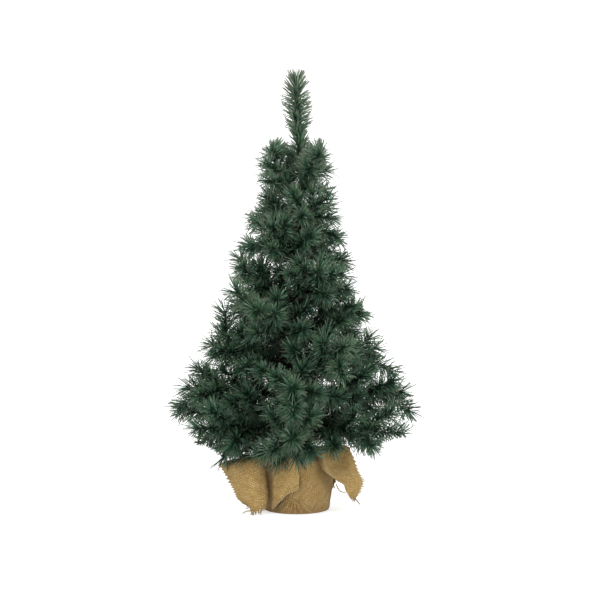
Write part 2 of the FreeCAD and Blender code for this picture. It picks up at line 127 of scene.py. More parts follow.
def new_mesh(name, verts, faces_flat, loop_totals, smooth=True, material=None):
    """A mesh object from arrays: verts (n, 3) in metres, faces_flat vertex indices, loop_totals corners per face."""
    mesh = bpy.data.meshes.new(name)
    verts = np.ascontiguousarray(verts, np.float32)
    faces_flat = np.ascontiguousarray(faces_flat, np.int32)
    loop_totals = np.ascontiguousarray(loop_totals, np.int32)
    mesh.vertices.add(len(verts))
    mesh.vertices.foreach_set("co", verts.ravel())
    mesh.loops.add(len(faces_flat))
    mesh.loops.foreach_set("vertex_index", faces_flat)
    starts = np.concatenate([[0], np.cumsum(loop_totals)[:-1]]).astype(np.int32)
    mesh.polygons.add(len(loop_totals))
    mesh.polygons.foreach_set("loop_start", starts)
    mesh.polygons.foreach_set("loop_total", loop_totals)
    mesh.update(calc_edges=True)
    mesh.polygons.foreach_set("use_smooth", np.full(len(loop_totals), smooth, bool))
    obj = bpy.data.objects.new(name, mesh)
    scene.collection.objects.link(obj)
    if material is not None:
        mesh.materials.append(material)
    return obj


def point_color(obj, name, rgba):
    attribute = obj.data.attributes.new(name, "FLOAT_COLOR", "POINT")
    attribute.data.foreach_set("color", np.ascontiguousarray(rgba, np.float32).ravel())


def face_uv(obj, name, uv):
    layer = obj.data.uv_layers.new(name=name)
    layer.data.foreach_set("uv", np.ascontiguousarray(uv, np.float32).ravel())
    return layer


class Nodes:
    """Small writer for a material's node tree."""

    def __init__(self, name):
        self.material = bpy.data.materials.new(name)
        self.material.use_nodes = True
        self.tree = self.material.node_tree
        self.bsdf = self.tree.nodes["Principled BSDF"]

    def add(self, kind, settings=None, **inputs):
        node = self.tree.nodes.new(kind)
        for key, value in (settings or {}).items():
            setattr(node, key, value)
        for key, value in inputs.items():
            self.put(node, key, value)
        return node

    def put(self, node, key, value):
        socket = node.inputs[int(key[1:])] if key[0] == "i" and key[1:].isdigit() else node.inputs[key.replace("_", " ")]
        if isinstance(value, bpy.types.NodeSocket):
            self.tree.links.new(value, socket)
        else:
            socket.default_value = value

    def math(self, operation, a, b=0.0, c=0.0, clamp=False):
        node = self.add("ShaderNodeMath", {"operation": operation, "use_clamp": clamp}, i0=a, i1=b)
        if operation in ("MULTIPLY_ADD", "SMOOTH_MIN", "SMOOTH_MAX", "COMPARE", "WRAP"):
            self.put(node, "i2", c)
        return node.outputs[0]

    def mix(self, factor, a, b, blend="MIX"):
        node = self.tree.nodes.new("ShaderNodeMix")
        node.data_type = "RGBA"
        node.blend_type = blend
        node.clamp_factor = True
        for socket, value in ((node.inputs[0], factor), (node.inputs[6], a), (node.inputs[7], b)):
            if isinstance(value, bpy.types.NodeSocket):
                self.tree.links.new(value, socket)
            else:
                socket.default_value = value
        return node.outputs[2]

    def ramp(self, factor, stops, interpolation="LINEAR"):
        node = self.tree.nodes.new("ShaderNodeValToRGB")
        ramp = node.color_ramp
        ramp.interpolation = interpolation
        while len(ramp.elements) < len(stops):
            ramp.elements.new(0.5)
        for element, (position, color) in zip(ramp.elements, stops):
            element.position = position
            element.color = color
        self.put(node, "i0", factor)
        return node.outputs[0]

    def noise(self, vector, scale, detail=3.0, rough=0.55):
        return self.add(
            "ShaderNodeTexNoise", None, Vector=vector, Scale=scale, Detail=detail, Roughness=rough
        ).outputs[0]


def srgb(r, g, b, k=1.0):
    def lin(c):
        c /= 255.0
        return (c / 12.92 if c <= 0.04045 else ((c + 0.055) / 1.055) ** 2.4) * k

    return (lin(r), lin(g), lin(b), 1.0)


# ---------------------------------------------------------------- materials


def needle_material():
    """Flat strips cut from dyed vinyl film: dark at the root, a painted shade where they crowd round the wire, a little
    paler along the edge that was cut, each strip its own tint.
    """
    m = Nodes("needle_vinyl")
    data = m.add("ShaderNodeAttribute", {"attribute_name": "needle"})
    parts = m.add("ShaderNodeSeparateColor", None, i0=data.outputs["Color"])
    tint, along, clump = parts.outputs[0], parts.outputs[1], parts.outputs[2]
    cool = m.ramp(
        along,
        [(0.0, srgb(33, 69, 54)), (0.3, srgb(40, 81, 64)), (0.75, srgb(55, 100, 80)), (1.0, srgb(80, 100, 86))],
    )
    warm = m.ramp(
        along,
        [(0.0, srgb(50, 83, 56)), (0.3, srgb(60, 97, 66)), (0.75, srgb(86, 124, 87)), (1.0, srgb(110, 119, 96))],
    )
    pale = m.ramp(
        along,
        [(0.0, srgb(76, 103, 84)), (0.3, srgb(94, 122, 101)), (0.75, srgb(134, 159, 138)), (1.0, srgb(148, 150, 137))],
    )
    color = m.mix(m.math("MULTIPLY", tint, 1.5, clamp=True), cool, warm)
    color = m.mix(m.math("MULTIPLY", m.math("SUBTRACT", tint, 0.62), 3.2, clamp=True), color, pale)
    coords = m.add("ShaderNodeTexCoord")
    streak = m.noise(coords.outputs["Object"], 420.0, 2.0)
    color = m.mix(m.math("MULTIPLY", streak, 0.3), color, srgb(22, 46, 34))
    color = m.mix(m.math("MULTIPLY", clump, 0.85), color, srgb(10, 26, 20))
    # Painted shade: the inner needles, near the pole, are darkened in colour for the shade the outer ones cast on them.
    color = m.mix(m.math("MULTIPLY", m.math("SUBTRACT", 1.0, data.outputs["Alpha"], clamp=True), 0.9), color, srgb(6, 16, 12))
    end = m.math("MULTIPLY", m.math("SUBTRACT", along, 0.5, clamp=True), 1.7, clamp=True)
    # Only some of the cut ends are brown; the rest are the same film, a little paler.
    worn = m.math("MULTIPLY", m.math("SUBTRACT", 0.46, tint, clamp=True), 4.5, clamp=True)
    color = m.mix(m.math("MULTIPLY", end, m.math("MULTIPLY_ADD", worn, 0.5, 0.5)), color, srgb(102, 90, 79))
    m.put(m.bsdf, "Base Color", color)
    m.put(m.bsdf, "Roughness", m.math("MULTIPLY_ADD", streak, 0.22, 0.36))
    m.put(m.bsdf, "Specular IOR Level", 0.22)
    return m.material


def wire_material():
    """Steel wire in a dull green paint, worn a little paler in random patches."""
    m = Nodes("wire_green")
    coords = m.add("ShaderNodeTexCoord")
    coarse = m.noise(coords.outputs["Object"], 260.0, 4.0)
    fine = m.noise(coords.outputs["Object"], 1600.0, 2.0)
    color = m.ramp(coarse, [(0.3, srgb(22, 44, 30)), (0.62, srgb(34, 62, 42)), (0.8, srgb(70, 78, 66))])
    m.put(m.bsdf, "Base Color", color)
    m.put(m.bsdf, "Roughness", m.math("MULTIPLY_ADD", fine, 0.3, 0.38))
    m.put(m.bsdf, "Metallic", 0.15)
    bump = m.add("ShaderNodeBump", None, Strength=0.25, Distance=0.0002, Height=fine)
    m.put(m.bsdf, "Normal", bump.outputs[0])
    return m.material


def speckled(name, low, high, scale, rough, bump_mm, metallic=0.0):
    m = Nodes(name)
    coords = m.add("ShaderNodeTexCoord")
    coarse = m.noise(coords.outputs["Object"], scale, 5.0)
    fine = m.noise(coords.outputs["Object"], scale * 6.0, 3.0)
    m.put(m.bsdf, "Base Color", m.ramp(coarse, [(0.35, low), (0.68, high)]))
    m.put(m.bsdf, "Roughness", m.math("MULTIPLY_ADD", fine, 0.2, rough))
    m.put(m.bsdf, "Metallic", metallic)
    bump = m.add("ShaderNodeBump", None, Strength=0.5, Distance=bump_mm * MM, Height=fine)
    m.put(m.bsdf, "Normal", bump.outputs[0])
    return m.material


NEEDLE = needle_material()
WIRE = wire_material()
PLASTIC = speckled("pot_black", srgb(26, 26, 26), srgb(40, 40, 38), 90.0, 0.42, 0.05)
CEMENT = speckled("cement_grey", srgb(128, 126, 120), srgb(168, 165, 157), 60.0, 0.85, 0.5)
PAINT = speckled("pole_green", srgb(24, 48, 32), srgb(36, 66, 44), 200.0, 0.35, 0.03)
TAPE = speckled("tape_green", srgb(28, 58, 38), srgb(44, 82, 54), 320.0, 0.5, 0.12)

# ---------------------------------------------------------------- branches


def frame_along(points):
    """Tangents and two side directions that don't twist, along a polyline."""
    tangent = np.gradient(points, axis=0)
    tangent /= np.linalg.norm(tangent, axis=1)[:, None]
    seed = np.array([0.0, 0.0, 1.0]) if abs(tangent[0][2]) < 0.9 else np.array([1.0, 0.0, 0.0])
    side = np.zeros_like(points)
    side[0] = unit(np.cross(tangent[0], seed))
    for i in range(1, len(points)):
        s = side[i - 1] - tangent[i] * np.dot(side[i - 1], tangent[i])
        side[i] = unit(s)
    return tangent, side, np.cross(tangent, side)


def at(table, where, position):
    """Rows of table read at distances position along the polyline whose distances are where."""
    return np.stack([np.interp(position, where, table[:, k]) for k in range(3)], 1)


class Line:
    """A wire's centre line in millimetres, with distances along it and side directions."""

    def __init__(self, points):
        self.points = points
        self.where = np.concatenate([[0], np.cumsum(np.linalg.norm(np.diff(points, axis=0), axis=1))])
        self.length = self.where[-1]
        self.tangent, self.side, self.over = frame_along(points)

    def at(self, s):
        return at(self.points, self.where, np.atleast_1d(s))

    def frame(self, s):
        s = np.atleast_1d(s)
        t = at(self.tangent, self.where, s)
        t /= np.linalg.norm(t, axis=1)[:, None]
        a = at(self.side, self.where, s)
        a -= t * (a * t).sum(1)[:, None]
        a /= np.linalg.norm(a, axis=1)[:, None]
        return t, a, np.cross(t, a)


def curved(start, direction, length, sag, sway, rng):
    """A nearly straight wire: it leaves along direction and wanders by a few millimetres, as wire bent by hand does."""
    n = max(6, int(length / 3))
    s = np.linspace(0, length, n)
    u = s / length
    up = np.array([0.0, 0.0, 1.0])
    lift = unit(up - direction * np.dot(up, direction)) if abs(direction[2]) < 0.97 else np.array([1.0, 0, 0])
    cross = np.cross(direction, lift)
    wave = np.sin(u * math.pi * 2 * rng.uniform(0.7, 1.1) + rng.uniform(0, 6)) - math.sin(0)
    bend = u * u
    points = (
        start
        + s[:, None] * direction
        + (bend * sag)[:, None] * lift
        + (bend * sway + u * (1 - u) * 1.6 * wave)[:, None] * cross
    )
    return points


def needles_on(line, s0, s1, rng, density, length, tip_angle=33.0, spread=57.0, pitch=9.0, fade_root=0.0):
    """Needle roots, directions and widths for one wire. The strips are clamped in pairs, so they stand in a double helix."""
    count = max(4, int((s1 - s0) * density))
    s = s0 + (np.arange(count) + rng.uniform(-0.45, 0.45, count) + 0.5) / count * (s1 - s0)
    t, a, b = line.frame(s)
    turn = 2 * math.pi * s / pitch + math.pi * (np.arange(count) % 2) + rng.normal(0, 1.15, count)
    left = (line.length - s) / 15.0
    closing = np.clip(left, 0, 1) ** 0.8
    angle = np.radians(tip_angle + (spread - tip_angle) * closing + rng.normal(0, 14.0, count))
    angle = np.maximum(angle, math.radians(4.0))
    size = length * rng.uniform(0.8, 1.12, count)
    size *= 0.84 + 0.13 * (1 - closing)
    if fade_root:
        size *= np.clip(0.6 + (s - s0) / fade_root, 0, 1)
    radial = np.cos(turn)[:, None] * a + np.sin(turn)[:, None] * b
    direction = np.cos(angle)[:, None] * t + np.sin(angle)[:, None] * radial
    root = line.at(s) + radial * 0.35
    return root, direction, t, size


def tuft_on(line, s1, rng, count, length, back=0.35):
    """Needles that stand all round a wire's root, some of them leaning back, where it meets the pole."""
    s = rng.uniform(0.5, s1, count)
    t, a, b = line.frame(s)
    turn = rng.uniform(0, 2 * math.pi, count)
    angle = np.arccos(rng.uniform(-back, 0.75, count))
    radial = np.cos(turn)[:, None] * a + np.sin(turn)[:, None] * b
    direction = np.cos(angle)[:, None] * t + np.sin(angle)[:, None] * radial
    size = length * rng.uniform(0.72, 1.0, count)
    return line.at(s) + radial * 0.35, direction, t, size


def brush(name, groups, rng, tint_low=0.0, tint_high=1.0, painted_shade_lift=0.0, dark=1.0, ends=(0.6, 0.86)):
    """One mesh of needles. Each is a slim strip with a shallow ridge, bent a little, with a blunt cut end."""
    root = np.concatenate([g[0] for g in groups])
    way = np.concatenate([g[1] for g in groups])
    stem = np.concatenate([g[2] for g in groups])
    size = np.concatenate([g[3] for g in groups])
    n = len(root)
    wide = stem - way * (stem * way).sum(1)[:, None]
    wide /= np.maximum(np.linalg.norm(wide, axis=1), 1e-6)[:, None]
    thin = np.cross(way, wide)
    twist = rng.normal(0, 0.75, n)
    wide, thin = (
        np.cos(twist)[:, None] * wide + np.sin(twist)[:, None] * thin,
        -np.sin(twist)[:, None] * wide + np.cos(twist)[:, None] * thin,
    )
    bow = rng.normal(0, 1.5, n)[:, None] * thin + rng.normal(0, 1.0, n)[:, None] * wide + np.array([0, 0, -0.35])
    half = rng.uniform(0.5, 0.68, n)
    rows = []
    for f, k, ridge in ((0.0, 0.8, 0.26), (0.5, 1.0, 0.34), (1.0, 0.72, 0.18)):
        centre = root + way * (size * f)[:, None] + bow * (f * f)
        w = wide * (half * k)[:, None]
        rows.append(centre - w)
        rows.append(centre + thin * ridge)
        rows.append(centre + w)
    verts = np.stack(rows, 1).reshape(-1, 3)  # nine corners to a needle
    quads = []
    for row in (0, 3):
        for k in range(3):
            j = (k + 1) % 3
            quads.append([row + k, row + j, row + 3 + j, row + 3 + k])
    quads = np.array(quads)
    caps = np.array([[2, 1, 0], [6, 7, 8]])
    offset = (np.arange(n) * 9)[:, None]
    flat_quads = (quads.reshape(1, -1) + offset).reshape(n, -1)
    flat_caps = (caps.reshape(1, -1) + offset).reshape(n, -1)
    faces = np.concatenate([flat_quads, flat_caps], 1).ravel()
    totals = np.tile(np.array([4] * 6 + [3] * 2), n)
    obj = new_mesh(name, verts * MM, faces, totals, True, NEEDLE)
    middle = root + way * (size * 0.6)[:, None]
    skirt = np.interp(middle[:, 2], [60, 100, 150, 300, 400, 450, 600], [95, 150, 160, 88, 50, 30, 4])
    # Painted light: the outermost needles are made a little paler, and more of their ends brown, for the light from the
    # white surroundings that shows through them at the outline.
    edge = np.clip((np.hypot(middle[:, 0], middle[:, 1]) / skirt - 0.72) / 0.35, 0.0, 1.0)
    tint = rng.beta(1.3, 2.1, n) * (tint_high - tint_low) + tint_low + 0.16 * edge * rng.uniform(0, 1, n)
    clump = rng.beta(1.0, 2.8, n) * dark
    reach = np.minimum(rng.uniform(ends[0], ends[1], n) + 0.24 * edge * rng.uniform(0.2, 1.0, n), 1.15)
    color = np.ones((n, 9, 4), np.float32)
    color[:, :, 0] = tint[:, None]
    color[:, :, 1] = np.repeat([0.0, 0.5, 1.0], 3)[None] * reach[:, None]
    color[:, :, 2] = clump[:, None]
    # Alpha: how far out from the pole a needle sits, raised by the lift argument; the material paints shade on the
    # needles near the pole.
    color[:, :, 3] = np.clip((np.hypot(middle[:, 0], middle[:, 1]) / skirt - 0.12) / 0.5 + painted_shade_lift, 0.0, 1.0)[:, None]
    point_color(obj, "needle", color)
    # Every needle has its own cell of the unwrap: its length runs up the cell, its three sides across.
    cells = int(math.ceil(math.sqrt(n)))
    cell = 1.0 / cells
    cx = (np.arange(n) % cells) * cell
    cy = (np.arange(n) // cells) * cell
    corner = []
    for row, f0, f1 in ((0, 0.08, 0.5), (3, 0.5, 0.92)):
        for k in range(3):
            x0, x1 = 0.08 + 0.28 * k, 0.08 + 0.28 * (k + 1)
            corner += [(x0, f0), (x1, f0), (x1, f1), (x0, f1)]
    corner += [(0.1, 0.02), (0.3, 0.02), (0.2, 0.07), (0.1, 0.94), (0.3, 0.94), (0.2, 0.98)]
    corner = np.array(corner)
    uv = np.empty((n, len(corner), 2))
    uv[:, :, 0] = cx[:, None] + corner[None, :, 0] * cell
    uv[:, :, 1] = cy[:, None] + corner[None, :, 1] * cell
    face_uv(obj, "OFBake", uv)
    return obj


def twisted(lines, radius, step=1.1, pitch=5.2, sides=8):
    """Vertices and faces of two strands twisted together, drawn as one two-lobed cord per line, closed at both ends."""
    verts, faces, totals, base = [], [], [], 0
    for line, r in zip(lines, radius):
        n = max(4, int(line.length / step))
        s = np.linspace(0, line.length, n)
        t, a, b = line.frame(s)
        c = line.at(s)
        phi = np.linspace(0, 2 * math.pi, sides, endpoint=False)
        turn = 2 * math.pi * s / pitch
        lobe = r * (0.62 + 0.38 * np.abs(np.cos(phi)))
        x = lobe * np.cos(phi)
        y = lobe * np.sin(phi) * 0.9
        ct, st = np.cos(turn)[:, None], np.sin(turn)[:, None]
        px = x[None] * ct - y[None] * st
        py = x[None] * st + y[None] * ct
        ring = c[:, None] + px[..., None] * a[:, None] + py[..., None] * b[:, None]
        verts.append(ring.reshape(-1, 3))
        i = np.arange(n - 1)[:, None] * sides
        k = np.arange(sides)[None]
        j = (k + 1) % sides
        quads = np.stack([i + k, i + j, i + sides + j, i + sides + k], -1).reshape(-1, 4) + base
        faces.append(quads.ravel())
        totals += [4] * len(quads)
        faces.append(np.arange(sides)[::-1] + base)
        faces.append(np.arange(sides) + base + (n - 1) * sides)
        totals += [sides, sides]
        base += n * sides
    return np.concatenate(verts), np.concatenate(faces), np.array(totals)


NEEDLE_LENGTH = 24.5
# Places of the front view, across and up, where needles bent by hand close a notch in the outline.
NOTCHES = [
    (100.0, 254.0), (104.0, 249.0), (97.0, 262.0), (82.0, 313.0), (80.0, 296.0), (78.0, 80.0), (116.0, 84.0), (141.0, 119.0),
    (163.0, 144.0), (-67.0, 377.0), (-54.0, 425.0), (-52.0, 477.0), (-118.0, 204.0), (-152.0, 176.0), (-100.0, 286.0),
    (-89.0, 317.0), (-161.0, 119.0), (-150.0, 107.0), (-156.0, 113.0), (62.0, 372.0), (73.0, 352.0),
]
# Straight trims of the front view: a point of the line, the way out, and the box they hold in. Ends beyond it are cut shorter.
TRIMS = [
    (0.0, 496.0, 0.0, 1.0, -60.0, 60.0, 470.0, 540.0),
    (-147.8, 101.1, -0.522, -0.854, -175.0, -84.0, 60.0, 125.0),
    (127.8, 94.3, 0.259, -0.966, 118.0, 180.0, 60.0, 125.0),
    (91.0, 281.0, 1.0, 0.0, 80.0, 120.0, 270.0, 291.0),
]
HANGING = [(-108.0, 82.0), (-97.0, 76.0), (-86.0, 74.0), (-75.0, 76.0), (12.0, 74.0), (12.0, 64.0), (20.0, 70.0), (4.0, 70.0), (6.0, 62.0), (12.0, 58.0), (18.0, 60.0), (24.0, 66.0), (12.0, 62.0)]
DENSITY = 4.4
plans = []
number = 0
for tier, (height, rise, stem_length, azimuths, twigs) in enumerate(TIERS):
    for azimuth in azimuths:
        number += 1
        rng = np.random.default_rng(7100 + number)
        extra, long, twig_long, roll, _ = SHAPED[number - 1]
        body = "branch_%02d" % number
        joint = JOINTS[body]
        bend = np.array(joint["pos_m"]) / MM
        az, el = math.radians(azimuth), math.radians(rise + extra)
        stem = np.array([math.cos(az) * math.cos(el), math.sin(az) * math.cos(el), math.sin(el)])
        left = np.array([-math.sin(az), math.cos(az), 0.0])
        over = np.cross(stem, left)
        length = stem_length * long
        scale = (1.0, 1.0, 1.0, 1.0, 0.97, 0.95, 0.93, 0.9)[tier]
        needle = NEEDLE_LENGTH * scale
        main = Line(curved(bend, stem, length, rng.uniform(-2.0, 3.5), rng.uniform(-3.5, 3.5), rng))
        lines, radii = [main], [1.1]
        groups = [
            needles_on(main, 3.0, main.length, rng, DENSITY, needle, fade_root=9.0),
            tuft_on(main, 13.0, rng, (110, 110, 110, 110, 110, 110, 120, 120)[tier], needle * 0.95, 0.35 + 0.05 * tier),
            tuft_on(main, 0.45 * main.length, rng, int(0.45 * main.length * 1.3), needle * 0.85, 0.45),
        ]
        shoots = [(fork, side + roll, splay, reach * twig_long) for fork, side, splay, reach in twigs]
        for fork, side, splay, reach in shoots + EXTRA[number - 1]:
            splay, side = math.radians(splay), math.radians(side)
            way = math.cos(splay) * stem + math.sin(splay) * (
                math.cos(side) * left + math.sin(side) * over
            )
            start = main.at(fork)[0]
            twig = Line(
                curved(start, way, reach, rng.uniform(-1.5, 2.5), rng.uniform(-2.5, 2.5), rng)
            )
            lines.append(twig)
            radii.append(0.9)
            groups.append(needles_on(twig, 1.5, twig.length, rng, DENSITY, needle * 0.97, fade_root=7.0))
        plans.append((number, body, rng, lines, radii, groups, needle))

# Thin places: seen from the front, the side and both corners, a few more needles lean into what is still bare.
WIRE_POINTS = np.concatenate([line.at(np.arange(2.0, line.length, 2.5)) for plan in plans for line in plan[3]])
WIRE_TANGENT = np.concatenate([line.frame(np.arange(2.0, line.length, 2.5))[0] for plan in plans for line in plan[3]])
WIRE_OWNER = np.concatenate(
    [np.full(len(np.arange(2.0, line.length, 2.5)), k) for k, plan in enumerate(plans) for line in plan[3]]
)


def seen(points, angle):
    """Where points stand in the view from one side: across, up and away, with the camera as far off as the scene's."""
    c, s = math.cos(math.radians(angle)), math.sin(math.radians(angle))
    away = -points[:, 0] * s + points[:, 1] * c
    near = 1650.0 / (1650.0 + away)
    return (points[:, 0] * c + points[:, 1] * s) * near, (points[:, 2] - 285.6) * near + 285.6, away


def lean(chosen, across, up, angle, rng, length, past=(3.0, 9.0)):
    """Needles from the chosen wire points whose middles pass over one place of the view."""
    u, v, _ = seen(WIRE_POINTS[chosen], angle)
    c, s = math.cos(math.radians(angle)), math.sin(math.radians(angle))
    du, dv = across - u, up - v
    flat = np.maximum(np.hypot(du, dv), 1e-3)
    reach = np.minimum(flat + rng.uniform(past[0], past[1], len(chosen)), 0.96 * length)
    du, dv = du / flat * reach, dv / flat * reach
    depth = np.sqrt(length * length - reach * reach) * rng.uniform(-0.9, 0.9, len(chosen))
    way = np.stack([du * c - depth * s, du * s + depth * c, dv], 1) + rng.normal(0, 1.6, (len(chosen), 3))
    size = np.linalg.norm(way, axis=1)
    way /= size[:, None]
    return WIRE_POINTS[chosen] + way * 0.4, way, WIRE_TANGENT[chosen], size


rng = np.random.default_rng(7400)
CELL = 2.5
fillers = [[] for _ in plans]
for angle, inner in ((0.0, 0.62), (90.0, 0.55), (45.0, 0.5), (135.0, 0.5)):
    marks = []
    for root, way, _, size in [g for plan in plans for g in plan[5]] + [g for f in fillers for g in f]:
        for part in (0.1, 0.25, 0.4, 0.55, 0.7, 0.85, 0.97):
            marks.append(root + way * (size * part)[:, None])
    u, v, _ = seen(np.concatenate(marks), angle)
    table, _, _ = np.histogram2d(u, v, bins=[np.arange(-200, 200.1, CELL), np.arange(60, 560.1, CELL)])
    where_u = np.arange(-200, 200, CELL) + CELL / 2
    where_v = np.arange(60, 560, CELL) + CELL / 2
    skirt = np.interp(where_v, [60, 100, 150, 300, 430, 540], [60, 135, 150, 92, 58, 24])
    bare = (table < 3) & (np.abs(where_u)[:, None] < inner * skirt[None]) & (where_v[None] > 105) & (where_v[None] < 505)
    wire_u, wire_v, _ = seen(WIRE_POINTS, angle)
    for i, j in zip(*np.nonzero(bare)):
        gap = np.hypot(wire_u - where_u[i], wire_v - where_v[j])
        near = np.nonzero((gap > 2.0) & (gap < 21.0))[0]
        if not len(near):
            continue
        chosen = rng.choice(near, min(len(near), 4), replace=False)
        group = lean(chosen, where_u[i], where_v[j], angle, rng, 24.0)
        for k, one in enumerate(chosen):
            fillers[WIRE_OWNER[one]].append(tuple(part[k : k + 1] for part in group))
# The lowest twigs droop over the cloth's top at the front.
for across, up in HANGING:
    wire_u, wire_v, wire_y = seen(WIRE_POINTS, 0.0)
    gap = np.hypot(wire_u - across, wire_v - up)
    near = np.nonzero((gap < 24.0) & (wire_y < -20.0))[0]
    if not len(near):
        continue
    chosen = rng.choice(near, min(len(near), 26), replace=False)
    group = lean(chosen, across + rng.normal(0, 3.0, len(chosen)), up + rng.normal(0, 3.0, len(chosen)), 0.0, rng, 24.0)
    for k, one in enumerate(chosen):
        fillers[WIRE_OWNER[one]].append(tuple(part[k : k + 1] for part in group))

for across, up in NOTCHES:
    wire_u, wire_v, _ = seen(WIRE_POINTS, 0.0)
    gap = np.hypot(wire_u - across, wire_v - up)
    near = np.nonzero(gap < 22.0)[0]
    if not len(near):
        continue
    chosen = rng.choice(near, min(len(near), 14), replace=False)
    group = lean(
        chosen, across + rng.normal(0, 3.0, len(chosen)), up + rng.normal(0, 3.0, len(chosen)), 0.0, rng, 23.0, (-1.0, 3.0)
    )
    for k, one in enumerate(chosen):
        fillers[WIRE_OWNER[one]].append(tuple(part[k : k + 1] for part in group))


def trimmed(group, rng):
    """The same needles, cut so that their ends keep inside the front view's trims."""
    root, way, stem, size = group
    size = size.copy()
    for x, z, nx, nz, x0, x1, z0, z1 in TRIMS:
        u, v, _ = seen(root + way * size[:, None], 0.0)
        ru, rv, _ = seen(root, 0.0)
        beyond = (u - x) * nx + (v - z) * nz - rng.normal(0, 1.2, len(size))
        back = (ru - x) * nx + (rv - z) * nz
        hit = (beyond > 0) & (u > x0) & (u < x1) & (v > z0) & (v < z1)
        keep = np.clip(-back / np.maximum(beyond - back, 1e-3), 0.3, 1.0)
        size = np.where(hit, size * keep, size)
    return root, way, stem, size


for (number, body, rng, lines, radii, groups, needle), more in zip(plans, fillers):
    if True:
        groups = [trimmed(group, rng) for group in groups]
        shade = rng.uniform(-0.08, 0.08)
        # Painted light: the higher a branch, the paler its needles' tint range; near the crown its needles also take
        # less of the painted inner shade and lighter random clumps, for the light that falls on the top of the tree.
        high = float(np.interp(np.array(JOINTS[body]["pos_m"])[2] / MM, [120, 300, 420, 480], [0.96, 0.99, 1.24, 1.32]))
        top = float(np.interp(np.array(JOINTS[body]["pos_m"])[2] / MM, [280, 420, 480], [0.0, 0.2, 0.4]))
        leaves = brush("needles_%02d" % number, groups + more, rng, 0.04 + shade, high + shade, top, 1.0 - 0.8 * top)
        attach(leaves, body)
        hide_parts(body + "_needles")
        verts, faces, totals = twisted(lines, radii)
        wires = new_mesh("wires_%02d" % number, verts * MM, faces, totals, True, WIRE)
        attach(wires, body)
        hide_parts(body + "_wire")

# The top shoot: straight, fuller in its middle, pinched where the two wires of it were joined, closed at its tip.
rng = np.random.default_rng(7300)
bend = np.array(JOINTS["leader"]["pos_m"]) / MM
tip = np.array([-1.0, 0.0, 586.0])
n = 40
u = np.linspace(0, 1, n)
points = bend + (tip - bend) * u[:, None] + np.stack([1.8 * np.sin(u * 5.2), 0.9 * np.sin(u * 3.7), 0 * u], 1) * (u * (1 - u) * 4)[:, None] * 0.6
shoot = Line(points)
count = int((shoot.length - 2) * 6.2)
s = 2.0 + ((np.arange(count) + rng.uniform(0, 1, count)) / count) ** 0.86 * (shoot.length - 2.0)
foot = bend[2]
t, a, b = shoot.frame(s)
turn = rng.uniform(0, 2 * math.pi, count)
# How far the needles' ends stand from the wire, by distance of their roots: narrow at the pinch and near the tip.
reach = np.interp(s, [0, 11.0, 22.0, 33.0, 41.0, 46.0, 50.0, 57.0, 62.0, 74.0, 88.0, 102.0, 110.0, 118.0, 127.0, 134.0], [13, 9, 15, 19.5, 19.5, 15, 10.5, 10.5, 18, 21, 21.5, 21.5, 20, 16, 11.5, 9.5])
radial = np.cos(turn)[:, None] * a + np.sin(turn)[:, None] * b
reach = reach * rng.normal(1.0, 0.09, count) * (1 + np.interp(s, [0, 22, 36, 46, 56, 72, 100, 134], [0.1, -0.05, -0.2, -0.2, -0.05, 0.1, 0.04, 0.04]) * radial[:, 0])
size = 23.0 * rng.normal(1.0, 0.06, count)
angle = np.arcsin(np.clip(reach / size, 0.05, 0.95))
direction = np.cos(angle)[:, None] * t + np.sin(angle)[:, None] * radial
size = np.minimum(size, (601.0 - (foot + s)) / np.cos(angle))
foot_tuft = tuft_on(shoot, 12.0, rng, 150, 22.0, 0.8)
# Short needles lie close along the wire and hide it.
more = 330
s2 = rng.uniform(4.0, shoot.length - 12.0, more)
t2, a2, b2 = shoot.frame(s2)
turn2 = rng.uniform(0, 2 * math.pi, more)
radial2 = np.cos(turn2)[:, None] * a2 + np.sin(turn2)[:, None] * b2
angle2 = np.radians(rng.uniform(10.0, 38.0, more))
close_by = (
    shoot.at(s2) + radial2 * 0.6,
    np.cos(angle2)[:, None] * t2 + np.sin(angle2)[:, None] * radial2,
    t2,
    rng.uniform(11.0, 17.0, more),
)
# Painted light: the top shoot has the palest tint range, little of the painted inner shade and light random clumps, for
# the light on the crown.
leaves = brush("needles_top", [(shoot.at(s) + radial * 0.4, direction, t, size), foot_tuft, close_by], rng, 0.22, 1.2, 0.9, 0.35, (0.8, 1.0))
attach(leaves, "leader")
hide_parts("leader_needles")
verts, faces, totals = twisted([shoot], [1.1])
wires = new_mesh("wires_top", verts * MM, faces, totals, True, WIRE)
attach(wires, "leader")
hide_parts("leader_wire")

for node, material in (
    ("pole", PAINT),
    ("pot", PLASTIC),
    ("cement_ballast", CEMENT),
    ("branch_tails", WIRE),
    ("branch_bindings", TAPE),
):
    mesh = frame["nodes"][node].data
    mesh.materials.clear()
    mesh.materials.append(material)

# ---------------------------------------------------------------- jute cloth


